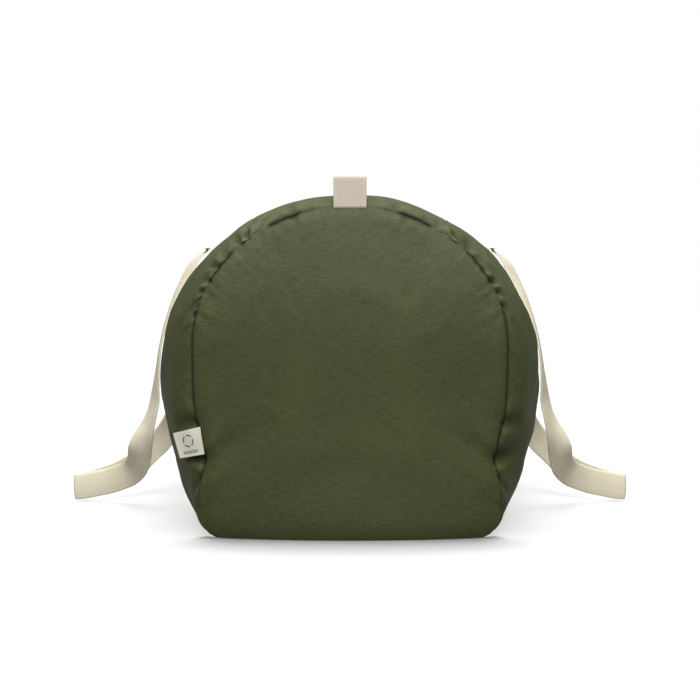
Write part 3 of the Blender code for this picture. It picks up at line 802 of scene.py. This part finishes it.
for body, side in ((LEFT, "left"), (RIGHT, "right")):
    panel = body.piece(f"{side}_canvas", 0, HINGE_COLUMN + 1)
    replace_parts(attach(panel, "bag"), f"{side}_side_panel")
    for end, rows in (("near", (0, MIDDLE_ROW + 1)), ("far", (MIDDLE_ROW, len(STATIONS)))):
        flap = body.piece(f"{side}_{end}_zip_panel", HINGE_COLUMN, None, *rows)
        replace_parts(opening(flap, side, end), f"{side}_mouth_flap")

# ---------------------------------------------------------------- the ends


def belly(x, z):
    """How far the load pushes an end out over the floor, where its lower edge sags outwards."""
    across = np.clip(1 - (x / 0.130) ** 2, 0, 1) ** 0.7
    return BELLY * across * np.exp(-((np.maximum(z, 0) / 0.070) ** 1.5))


def end_slack(sign, spacing=0.006):
    """A function of (x, z) that gives the simulated folds of an end panel."""
    xs, zs = np.arange(-0.150, 0.1501, spacing), np.arange(0, 0.3061, spacing)
    x, z = np.meshgrid(xs, zs, indexing="ij")
    half_width = np.interp(z, outline_z, outline_x)
    share = np.clip(np.maximum(np.abs(x) / half_width, np.abs(z / 0.150 - 1)), 0, 1)
    points = np.stack([x, sign * (LENGTH / 2 + DOME * (1 - share**2)), z], -1)
    normals = np.broadcast_to(np.array([0, sign, 0.0]), points.shape)
    held = (np.abs(x) > half_width - 0.004) | (z < 0.004) | (z > END["height"] - 0.004)
    shift = 0.3 * settled(points, normals, held, 0.006, 1.0, most=0.0020)

    def at(x, z):
        across = np.clip((x - xs[0]) / spacing, 0, len(xs) - 1.001)
        up = np.clip(z / spacing, 0, len(zs) - 1.001)
        i, j = across.astype(int), up.astype(int)
        a, b = across - i, up - j
        low = shift[i, j] * (1 - a) + shift[i + 1, j] * a
        return low * (1 - b) + (shift[i, j + 1] * (1 - a) + shift[i + 1, j + 1] * a) * b

    return at


END_CENTRE = 0.150  # height of the point that the rings of an end panel close in on
END_STEPS = (0, 0.25, 0.6, 1.1, 1.7, 2.5, 3.5, 4.8, 6.4, 8.4, 11, 14, 17.5, 21.5, 26, 31, 37, 44)
END_STEPS = np.array(END_STEPS) / 1000


def end_outline(row):
    """The end seam all the way round, its distance from the base's edge, and where it runs up a side."""
    right, left = RIGHT.points[row], LEFT.points[row] * np.array([-1, 1, 1])
    top = right[-1] + (left[-1] - right[-1]) * np.linspace(0, 1, 12)[1:-1, None]
    base = left[0] + (right[0] - left[0]) * np.linspace(0, 1, 50)[1:-1, None]
    ring = np.concatenate([right, top, left[::-1], base])
    r = np.concatenate([ROUND, np.full(len(top), ROUND[-1]), ROUND[::-1], np.zeros(len(base))])
    sides = np.repeat([True, False, True, False], [len(right), len(top), len(left), len(base)])
    return ring, r, sides


def end_folds(r, distance, folds):
    """Creases that run from the end seam into the end panel, much weaker than those on the sides."""
    total = np.zeros(len(r))
    for start, end, length, width, depth in folds:
        total += crease(r, distance, start, end, 0, length * 0.55, width, depth * 0.3)
    for r0, r1, _, d1, width, depth in SHOWN[:5]:
        total += crease(r, distance, r0, 2 * r0 - r1, 0, d1 * 0.30, width, depth * 0.10)
    return total + crease(r, distance, KINK, KINK - 0.006, 0, 0.045, 0.010, 0.0018)


def end_panel(name, sign):
    """The D-shaped end: a full, slightly domed panel with a rolled edge that dives into the seam."""
    ring, r, sides = end_outline(0 if sign < 0 else -1)
    # painted shade along the end seam, fainter along the top and the base
    shade = np.where(sides, seam_shade(r), 0.10)
    slack = end_slack(sign)
    inward = np.array([0, 0, END_CENTRE]) - ring * np.array([1, 0, 1])
    reach = np.linalg.norm(inward, axis=1)
    inward /= reach[:, None]
    folds = pleats(31 if sign < 0 else 37, 30)
    roll = 0.0032 + 0.009 * np.where(sides, 1 - seam_open(r), 1)
    rings, painted_fold_highlights, painted_shades = [], [], []
    last = END_STEPS[-1]
    distances = [np.full(len(ring), step) for step in END_STEPS]
    distances += [last + (reach - last) * share for share in np.linspace(0, 1, 24)[1:-1]]
    for e in distances:
        share = 1 - e / reach
        rise = DOME * (1 - share**2) + 0.0028 * (1 - np.exp(-((e / roll) ** 0.9)))
        rise = rise * (1 - 0.08 * (1 - share))
        place = ring + inward * e[:, None]
        lift = end_folds(r, e, folds) * sides
        lift += 0.0006 * ripple(place[:, 0], place[:, 2], 0.11, 5) * smoothstep(e / 0.03)
        lift += slack(place[:, 0], place[:, 2]) * smoothstep(e / 0.012)
        lift *= smoothstep((place[:, 2] - 0.002) / 0.03)
        y = sign * (LENGTH / 2 + 0.0001 + rise + lift + belly(place[:, 0], place[:, 2]))
        rings.append(np.stack([place[:, 0], y, place[:, 2]], -1))
        # painted highlight: the proud places of the folds are made lighter
        painted_fold_highlights.append(np.clip(lift / 0.0016, 0, 1) * 0.5)
        painted_shades.append(np.exp(-((e / shade_width(r)) ** 2)) * shade)
    points = np.concatenate(rings)
    columns = len(ring)
    points = np.concatenate([points, [[0, sign * (LENGTH / 2 + DOME * 0.92 + 0.0030), END_CENTRE]]])
    faces = list(grid_faces(len(rings), columns, flip=sign < 0, wrap=True))
    inner = (len(rings) - 1) * columns
    for j in range(columns):
        tri = (inner + j, inner + (j + 1) % columns, len(points) - 1)
        faces.append(tri[::-1] if sign < 0 else tri)
    uv = points[:, [0, 2]]
    wear_and_painted_highlight = np.append(np.concatenate(painted_fold_highlights), 0)
    painted_shade = np.append(np.concatenate(painted_shades), 0)
    obj = mesh_object(name, points, faces, canvas, uv, {"wear_and_painted_highlight": wear_and_painted_highlight, "painted_shade": painted_shade})
    return thicken(obj, CANVAS)


for end, sign in (("near", -1), ("far", 1)):
    panel = end_panel(f"{end}_end_canvas", sign)
    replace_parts(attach(panel, "bag"), f"{end}_end_panel")

BASE_COLUMNS = 40
left_edge, right_edge = LEFT.points[:, 0] * np.array([-1, 1, 1]), RIGHT.points[:, 0]
base_share = np.linspace(0, 1, BASE_COLUMNS)[None, :, None]
base_points = left_edge[:, None] + (right_edge - left_edge)[:, None] * base_share
reach = smoothstep((np.abs(base_points[..., 1]) - 0.16) / 0.08)
base_points[..., 1] += np.sign(base_points[..., 1]) * reach * belly(base_points[..., 0], 0.0)
plain = np.zeros(base_points.shape[:2])
base = mesh_object(
    "base_canvas", base_points.reshape(-1, 3), grid_faces(len(STATIONS), BASE_COLUMNS, flip=True),
    canvas, base_points[..., :2].reshape(-1, 2), {"wear_and_painted_highlight": plain, "painted_shade": plain},
)
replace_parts(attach(thicken(base, CANVAS), "bag"), "base_panel")

# ---------------------------------------------------------------- webbing


def travelled(points):
    """How far each point is along a line."""
    return np.concatenate([[0], np.cumsum(np.linalg.norm(np.diff(points, axis=0), axis=1))])


def strap(name, centres, edges, width=WIDTH, thickness=WEBBING, material=None, start=0.0, curl=0.0):
    """A strap swept along centres. edges point across its width; its long edges are rounded."""
    centres, edges = np.asarray(centres, float), np.asarray(edges, float)
    along = np.gradient(centres, axis=0)
    along /= np.linalg.norm(along, axis=1, keepdims=True)
    across = edges - along * np.sum(edges * along, 1)[:, None]
    across /= np.linalg.norm(across, axis=1, keepdims=True)
    face = np.cross(along, across)
    half, thick = width / 2, thickness / 2
    flat = np.linspace(-1, 1, 11) * (half - thick * 0.8)
    rim = half - thick * 0.25
    ring = [(c, -thick) for c in flat] + [(rim, -thick * 0.75), (half, 0), (rim, thick * 0.75)]
    ring = np.array(ring + [(-c, -height) for c, height in ring])
    bend = curl * (ring[:, 0] / half) ** 2
    points = centres[:, None] + across[:, None] * ring[None, :, :1]
    points = points + face[:, None] * (ring[:, 1] + bend)[None, :, None]
    length = start + travelled(centres)
    uv = np.stack(np.broadcast_arrays(ring[None, :, 0], length[:, None]), -1).reshape(-1, 2)
    count = len(ring)
    faces = list(grid_faces(len(centres), count, wrap=True))
    end = (len(centres) - 1) * count
    faces += [tuple(range(count))[::-1], tuple(range(end, end + count))]
    wear_and_painted_highlight = np.clip((np.abs(ring[:, 0]) - half + 0.0016) / 0.0016, 0, 1)
    wear_and_painted_highlight = np.repeat(wear_and_painted_highlight[None, :], len(centres), 0)
    obj = mesh_object(name, points.reshape(-1, 3), faces, material or webbing, uv, {"wear_and_painted_highlight": wear_and_painted_highlight})
    return obj, length[-1]


def catmull(points, steps):
    points = np.asarray(points, float)
    ends = np.concatenate([[2 * points[0] - points[1]], points, [2 * points[-1] - points[-2]]])
    made = []
    for i in range(1, len(ends) - 2):
        p0, p1, p2, p3 = ends[i - 1 : i + 3]
        for t in np.arange(steps) / steps:
            square, cube = 2 * p0 - 5 * p1 + 4 * p2 - p3, 3 * p1 - p0 - 3 * p2 + p3
            made.append((2 * p1 + (p2 - p0) * t + square * t**2 + cube * t**3) / 2)
    return np.array([*made, points[-1]])


TURNS = [math.pi * k / 3 for k in range(6)]


def loft(vertices, faces, rings, flip=False):
    """Adds a closed, tapering rod, whose rings have one corner for each of the turns."""
    start, last = len(vertices), 6 * (len(rings) - 1)
    vertices += [corner for ring in rings for corner in ring]
    made = [
        (start + i + k, start + i + (k + 1) % 6, start + i + 6 + (k + 1) % 6, start + i + 6 + k)
        for i in range(0, last, 6) for k in range(6)
    ]
    made += [tuple(start + k for k in range(5, -1, -1)), tuple(start + last + k for k in range(6))]
    faces += [face[::-1] for face in made] if flip else made


# along a stitch: (share of its length, share of its radius, rise)
STITCH = ((0.0, 0.25, -1.0), (0.15, 0.8, -0.1), (0.5, 1.0, 0.35), (0.85, 0.8, -0.1), (1.0, 0.25, -1.0))


def stitches(name, rows, material, length=0.0028, gap=0.0010, radius=0.00032, sunk=0.00008):
    """Little rounded threads along each row of points and normals."""
    vertices, faces = [], []
    for points, normals in rows:
        points, normals = np.asarray(points, float), np.asarray(normals, float)
        places = travelled(points)

        def sample(values, place):
            return np.array([np.interp(place, places, values[:, k]) for k in range(3)])

        for n in range(max(int(places[-1] / (length + gap)), 1)):
            first = n * (length + gap) + gap / 2
            a, b = sample(points, first), sample(points, first + length)
            up = sample(normals, first + length / 2)
            up /= np.linalg.norm(up)
            across = np.cross((b - a) / np.linalg.norm(b - a), up)
            rings = []
            for share, size, rise in STITCH:
                centre = a + (b - a) * share + up * (radius * rise - sunk)
                outward = [across * math.cos(t) + up * math.sin(t) for t in TURNS]
                rings.append([centre + way * radius * size for way in outward])
            loft(vertices, faces, rings)
    return mesh_object(name, vertices, faces, material)


# the handle, from the near leg to the far one: the middle of the webbing, and the way one edge points
HANDLE_ROUTE = np.array((
    (-0.1594, -0.085, 0.252, 0.36, -0.93, 0), (-0.1688, -0.085, 0.234, 0.44, -0.9, 0),
    (-0.1788, -0.085, 0.214, 0.34, -0.94, 0), (-0.1875, -0.085, 0.193, 0.2, -0.98, 0),
    (-0.1932, -0.085, 0.17, 0.15, -0.99, 0), (-0.1968, -0.085, 0.146, 0.22, -0.98, 0),
    (-0.1988, -0.085, 0.127, 0.33, -0.94, 0), (-0.2003, -0.085, 0.111, 0.45, -0.89, 0),
    (-0.2033, -0.085, 0.098, 0.48, -0.88, 0), (-0.2072, -0.084, 0.086, 0.6, -0.8, 0),
    (-0.2123, -0.082, 0.073, 0.8, -0.6, 0), (-0.2165, -0.077, 0.059, 0.92, -0.35, -0.15),
    (-0.2212, -0.065, 0.0425, 0.75, -0.15, -0.64), (-0.2312, -0.051, 0.032, 0.4, 0, -0.92),
    (-0.242, -0.044, 0.0268, 0.24, 0, -0.97), (-0.2545, -0.039, 0.0222, 0.14, 0, -0.99),
    (-0.269, -0.036, 0.0188, 0.08, 0, -1), (-0.283, -0.034, 0.0158, 0.04, 0, -1),
    (-0.2908, -0.0325, 0.015, 0.03, 0, -1), (-0.2928, -0.0295, 0.0149, 0.03, 0, -1),
    (-0.2908, -0.0265, 0.015, 0.03, 0, -1), (-0.281, -0.023, 0.0162, 0.06, 0, -1),
    (-0.264, -0.015, 0.0206, 0.2, 0, -0.98), (-0.248, -0.003, 0.0258, 0.32, 0, -0.95),
    (-0.2345, 0.014, 0.0335, 0.44, 0.05, -0.9), (-0.2215, 0.038, 0.046, 0.58, 0.12, -0.81),
    (-0.2105, 0.056, 0.057, 0.66, 0.28, -0.7), (-0.2022, 0.07, 0.074, 0.62, 0.65, -0.44),
    (-0.1985, 0.08, 0.097, 0.4, 0.9, -0.1), (-0.1976, 0.084, 0.122, 0.2, 0.98, 0),
    (-0.1958, 0.085, 0.146, 0.1, 0.99, 0), (-0.1925, 0.085, 0.17, 0.05, 1, 0),
    (-0.187, 0.085, 0.193, 0.05, 1, 0), (-0.179, 0.085, 0.214, 0.05, 1, 0),
    (-0.1688, 0.085, 0.234, 0.05, 1, 0), (-0.159, 0.085, 0.252, 0.05, 1, 0),
))
ANCHOR_ANGLE = math.radians(48)
FOLD_RADIUS, FOLD_LIFT = 0.0044, 0.0055
LOOP_CURL = 0.0011  # how far the edges of the loop bend away from its middle
rise = MID["height"] - MID["widest"]
fold_z = MID["widest"] + rise * math.cos(ANCHOR_ANGLE)
FOLD_POINT = np.array([-math.sin(ANCHOR_ANGLE) * MID["half"], 0, fold_z])
FOLD_OUT = np.array([-math.sin(ANCHOR_ANGLE) / MID["half"], 0, math.cos(ANCHOR_ANGLE) / rise])
FOLD_OUT /= np.linalg.norm(FOLD_OUT)
FOLD_UP = np.array([FOLD_OUT[2], 0, -FOLD_OUT[0]])
FOLD_AXIS = FOLD_POINT + FOLD_OUT * FOLD_LIFT
SEWN_COLUMNS = 13  # points across the sewn webbing
SEWN_LIFT = 0.0002 + WEBBING  # height of its outer face over the canvas


def on_side(points, side):
    return np.asarray(points) * np.array([-side, 1, 1])


def handle_loop(name, side):
    """The free loop, from the end of one fold to the end of the other."""
    starts = [FOLD_AXIS + FOLD_OUT * FOLD_RADIUS + np.array([0, end * ANCHOR_Y, 0]) for end in (-1, 1)]
    centres = on_side(catmull([starts[0], *HANDLE_ROUTE[:, :3], starts[1]], 8), side)
    across = on_side(catmull([(0, -1, 0), *HANDLE_ROUTE[:, 3:], (0, 1, 0)], 8), side)
    loop, _ = strap(f"{name}_handle_loop", centres, across, start=0.3, curl=LOOP_CURL * side)
    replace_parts(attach(loop, f"{name}_carry"), f"{name}_handle")


def sewn_strap(name, body, side, end, sign):
    """The webbing sewn to the canvas, from the base seam up to the fold, and its stitching."""
    x = body.flat[MIDDLE_ROW, :, 0]
    arch = np.arange(len(x)) > CORNER_STEPS + SIDE_STEPS
    last = int(np.argmax(arch & (x < MID["half"] * math.sin(ANCHOR_ANGLE + 0.026))))
    columns = np.arange(7, last + 1)
    places = np.linspace(-WIDTH / 2, WIDTH / 2, SEWN_COLUMNS)
    across = sign * ANCHOR_Y + places
    grid = body.at(across[None], columns[:, None], SEWN_LIFT)[0]
    length = body.girth[MIDDLE_ROW, columns]
    uv = np.stack(np.broadcast_arrays(places[None], length[:, None]), -1)
    wear_and_painted_highlight = np.zeros(uv.shape[:2])
    wear_and_painted_highlight[:, [0, -1]] = 1
    faces = grid_faces(len(columns), SEWN_COLUMNS, flip=side < 0)
    sewn = mesh_object(
        f"{name}_{end}_sewn_strap", grid.reshape(-1, 3), faces, webbing, uv.reshape(-1, 2), {"wear_and_painted_highlight": wear_and_painted_highlight}
    )
    sewn = thicken(sewn, WEBBING)
    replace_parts(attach(sewn, "bag"), f"{name}_{end}_anchor_strap")
    rows = [body.at(y, columns[2:-2], SEWN_LIFT) for y in (across[1], across[-2])]
    ys = np.linspace(across[1], across[-2], 12)
    rows += [body.at(ys, columns[place], SEWN_LIFT) for place in (3, -4, -16)]
    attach(stitches(f"{name}_{end}_strap_stitches", rows, beige_thread), "bag")
    return float(length[-1])


def handle_fold(name, side, end, sign, start):
    """The turn of the webbing between the sewn strap and the handle loop."""
    axis = FOLD_AXIS + np.array([0, sign * ANCHOR_Y, 0])
    turns = np.pi * np.linspace(0, 1, 25)
    arc = np.array([axis + (FOLD_UP * math.sin(t) - FOLD_OUT * math.cos(t)) * FOLD_RADIUS for t in turns])
    foot = np.array([arc[0] - FOLD_UP * 0.0052 * k for k in (1.0, 0.75, 0.5, 0.25)])
    edges = np.repeat([[0, float(sign), 0]], len(foot) + len(arc), 0)
    centres = on_side(np.concatenate([foot, arc]), side)
    fold, _ = strap(f"{name}_{end}_fold", centres, on_side(edges, side), start=start)
    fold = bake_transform(fold)


def zip_tab(end, sign):
    """Webbing folded double over the end of the zip."""
    low, high, radius = 0.2985, 0.3262, 0.0012
    y = sign * (LENGTH / 2 + 0.0004)
    front = [(0, y + sign * radius, z) for z in np.linspace(low, high, 12)]
    turns = np.linspace(0, math.pi, 9)[1:-1]
    turn = [(0, y + sign * radius * math.cos(t), high + radius * math.sin(t)) for t in turns]
    back = [(0, y - sign * radius, z) for z in np.linspace(high, low, 12)]
    path = np.array(front + turn + back)
    edges = np.repeat([[1.0, 0, 0]], len(path), 0)
    tab, _ = strap(f"{end}_tab_webbing", path, edges, TAB_WIDTH, 0.0014, tab_webbing)
    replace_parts(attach(tab, "bag"), f"{end}_zip_tab")
    face = y + sign * (radius + 0.0007)
    rows = [([(-0.0135, face, z), (0.0135, face, z)], [(0, sign, 0)] * 2) for z in (0.3012, 0.3232)]
    sewing = stitches(f"{end}_tab_stitches", rows, tab_thread, length=0.0022, gap=0.0006, radius=0.00022)
    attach(sewing, "bag")


for body, side, name in ((LEFT, -1, "left"), (RIGHT, 1, "right")):
    handle_loop(name, side)
    for end, sign in (("near", -1), ("far", 1)):
        start = sewn_strap(name, body, side, end, sign)
        handle_fold(name, side, end, sign, start)
for end, sign in (("near", -1), ("far", 1)):
    zip_tab(end, sign)

# ---------------------------------------------------------------- zip

HALVES = {"near": (-LENGTH / 2 + 0.0018, 0.0), "far": (0.0, LENGTH / 2 - 0.0018)}
TOOTH_PITCH = 0.0014
# along the tooth, from the tape to its rounded tip: (x, height, half thickness)
TOOTH = (
    (0.0035, -0.0008, 0.00035), (0.0030, 0.0002, 0.00042), (0.0012, 0.0005, 0.00045),
    (0.0002, 0.0004, 0.00055), (-0.0003, 0.0, 0.00030),
)


def parting(y):
    """How far each half of the chain is pushed aside by the slider's post, at both ends of its travel."""
    from_post = np.minimum(np.abs(y - SLIDER_Y - 0.0045), np.abs(y - SLIDER_Y + SLIDER_TRAVEL - 0.0045))
    return 0.0017 * (0.5 + 0.5 * np.cos(math.pi * np.clip(from_post / 0.0075, 0, 1)))


def arch_z(y, x):
    half, widest, height, _ = section(float(y))
    return widest + (height - widest) * math.sqrt(1 - (x / half) ** 2)


def zip_tape(side, name, end):
    """Half of the tape along half of the zip, under the canvas edge."""
    low, high = HALVES[end]
    ys = np.linspace(low, high, 80)
    shares = np.linspace(0, 1, 7)
    points = np.empty((len(ys), len(shares), 3))
    for i, y in enumerate(ys):
        inner = 0.0012 + parting(y)
        for j, share in enumerate(shares):
            x = inner + (0.0140 - inner) * share
            points[i, j] = side * x, y, arch_z(y, x) - 0.0021
    uv = np.stack([np.abs(points[..., 0]), points[..., 1]], -1).reshape(-1, 2)
    faces = grid_faces(len(ys), len(shares), flip=side < 0)
    tape = mesh_object(f"{name}_{end}_zip_tape", points.reshape(-1, 3), faces, zip_cloth, uv)
    tape = thicken(tape, 0.0007)
    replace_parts(opening(tape, name, end), f"{name}_zip_tape")


def zip_teeth(side, name, end):
    """The nylon coil: one rounded loop for each tooth, meshing with those of the other half."""
    low, high = HALVES[end]
    first = math.ceil(low / TOOTH_PITCH) + (0 if side < 0 else 0.5)
    count = int((high - low) / TOOTH_PITCH) - 1
    vertices, faces = [], []
    for n in range(count):
        y = (first + n) * TOOTH_PITCH
        base_z, apart = arch_z(y, 0.0) - 0.0002, float(parting(y)) + 0.00015
        rings = []
        for x, height, thick in TOOTH:
            z = base_z + height
            rings.append([
                (side * (x + apart), y + thick * math.cos(t), z + thick * 1.3 * math.sin(t)) for t in TURNS
            ])
        loft(vertices, faces, rings, flip=side < 0)
    teeth = mesh_object(f"{name}_{end}_zip_teeth", vertices, faces, coil_plastic)
    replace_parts(opening(teeth, name, end), f"{name}_zip_coil")


def zip_stitches(body, name, end):
    """Two rows of topstitching along the folded edge of the zip panel."""
    low, high = HALVES[end]
    ys = np.linspace(low + 0.010, high - (0.010 if end == "far" else 0.0004), 60)
    edge = body.girth[MIDDLE_ROW, -1]
    rows = [body.at(ys, body.column_at(edge - inset)) for inset in (0.0022, 0.0085)]
    sewing = stitches(f"{name}_{end}_zip_stitches", rows, green_thread)
    opening(sewing, name, end)


def seam_stitches(body, name):
    """Topstitching on the side panel, beside the seam to the zip panel."""
    ys = np.linspace(-LENGTH / 2 + 0.030, LENGTH / 2 - 0.030, 120)
    hinge = body.girth[MIDDLE_ROW, HINGE_COLUMN]
    row = body.at(ys, body.column_at(hinge - 0.0032))
    sewing = stitches(f"{name}_panel_stitches", [row], green_thread)
    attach(sewing, "bag")


for body, side, name in ((LEFT, -1, "left"), (RIGHT, 1, "right")):
    seam_stitches(body, name)
    for end in HALVES:
        zip_tape(side, name, end)
        zip_teeth(side, name, end)
        zip_stitches(body, name, end)


def rounded_copy(node, finish, body, width):
    """A small metal CAD part with its edges softened."""
    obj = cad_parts[node].copy()
    obj.data = obj.data.copy()
    obj.parent = None
    obj.name = f"{node}_cast"
    obj.data.materials.clear()
    obj.data.materials.append(finish)
    bpy.context.scene.collection.objects.link(obj)
    weld = obj.modifiers.new("weld", "WELD")
    weld.merge_threshold = 0.00002
    bevel = obj.modifiers.new("edges", "BEVEL")
    bevel.width = width
    bevel.segments = 3
    bevel.limit_method = "ANGLE"
    bevel.angle_limit = math.radians(40)
    apply_modifiers(obj)
    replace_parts(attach(obj, body), node)


rounded_copy("zip_slider", metal, "slider", 0.0004)
rounded_copy("pull_tab", metal, "puller", 0.00022)


def pull_ribbon():
    """Narrow webbing folded through the slot of the pull, its ends sewn together."""
    bar = Vector((0, SLIDER_Y - 0.0153, MID["height"] + 0.0038))
    radius, reach = 0.0015, 0.0210
    turns = np.linspace(0, math.pi, 9)[1:-1]
    sag = [0.0009 * math.sin(math.pi * share) for share in np.linspace(0, 1, 12)]
    upper = [bar + Vector((0, -reach * (1 - n / 11), radius - sag[n] * 0.5)) for n in range(12)]
    turn = [bar + Vector((0, radius * math.sin(t), radius * math.cos(t))) for t in turns]
    lower = [bar + Vector((0, -reach * n / 11, -radius + sag[n] * 0.5)) for n in range(12)]
    path = np.array([tuple(p) for p in upper + turn + lower])
    edges = np.repeat([[1.0, 0, 0]], len(path), 0)
    ribbon, _ = strap("pull_ribbon_cloth", path, edges, 0.0042, 0.0008, narrow_webbing)
    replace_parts(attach(ribbon, "puller"), "pull_ribbon")


pull_ribbon()

# ---------------------------------------------------------------- label, bindings and board


LABEL_CORNERS = {  # from the seam outwards, the lower and the upper corner
    "seam": ((-0.1313, -0.2425, 0.0758), (-0.1345, -0.2425, 0.1010)),
    "free": ((-0.1560, -0.2285, 0.0700), (-0.1622, -0.2285, 0.0932)),
}


def care_label():
    """A woven label caught in the near left seam and lying over it on the side panel."""
    out, up = np.meshgrid(np.linspace(0, 1, 22), np.linspace(0, 1, 20), indexing="ij")
    (a, b), (c, d) = (np.array(LABEL_CORNERS[edge]) for edge in ("seam", "free"))
    low = a + (c - a) * out[..., None]
    high = b + (d - b) * out[..., None]
    points = low + (high - low) * up[..., None]
    along, rise = (c - a) / np.linalg.norm(c - a), (b - a) / np.linalg.norm(b - a)
    facing = np.cross(along, rise)
    facing *= -np.sign(facing[0]) / np.linalg.norm(facing)
    ys, columns = np.meshgrid(np.linspace(-LENGTH / 2, -0.205, 50), np.linspace(14, 45, 90), indexing="ij")
    cloth = LEFT.at(ys, columns)[0].reshape(-1, 3)
    height = np.empty(out.shape)
    for place in np.ndindex(out.shape):
        gap = cloth - points[place]
        above = gap @ facing
        near = np.linalg.norm(gap - above[:, None] * facing, axis=1) < 0.0016
        height[place] = above[near].max() if near.any() else np.nan
    height = np.where(np.isnan(height), np.nanmin(height), height)
    height = np.maximum(height, -0.0016 * out)
    even = blurred(height, 5)
    points = points + facing * (even + (height - even).max() + 0.0006)[..., None]
    width, tall = np.linalg.norm(c - a), np.linalg.norm(b - a)
    uv = np.stack([out * width, up * tall], -1).reshape(-1, 2)
    faces = grid_faces(*out.shape)
    label = mesh_object("care_label_cloth", points.reshape(-1, 3), faces, label_cloth, uv)
    label = thicken(label, 0.0004)
    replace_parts(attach(label, "bag"), "care_label")


care_label()

for node, finish in (
    ("near_seam_binding", binding), ("far_seam_binding", binding), ("base_board", board_plastic),
):
    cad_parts[node].data.materials.clear()
    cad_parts[node].data.materials.append(finish)

# ---------------------------------------------------------------- shadow on the floor

# the light beside the bag is filled in, so only the ends and the base shade the floor fully
shading = bpy.data.collections.new("shading")
for piece in ("near_end_canvas", "far_end_canvas", "base_canvas"):
    shading.objects.link(bpy.data.objects[piece])
bpy.data.objects["floor_sun"].light_linking.blocker_collection = shading

# ---------------------------------------------------------------- sizes

boxes = {"cad": cad_box, "visual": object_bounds()}
boxes = {name: [[float(value) for value in corner] for corner in box] for name, box in boxes.items()}
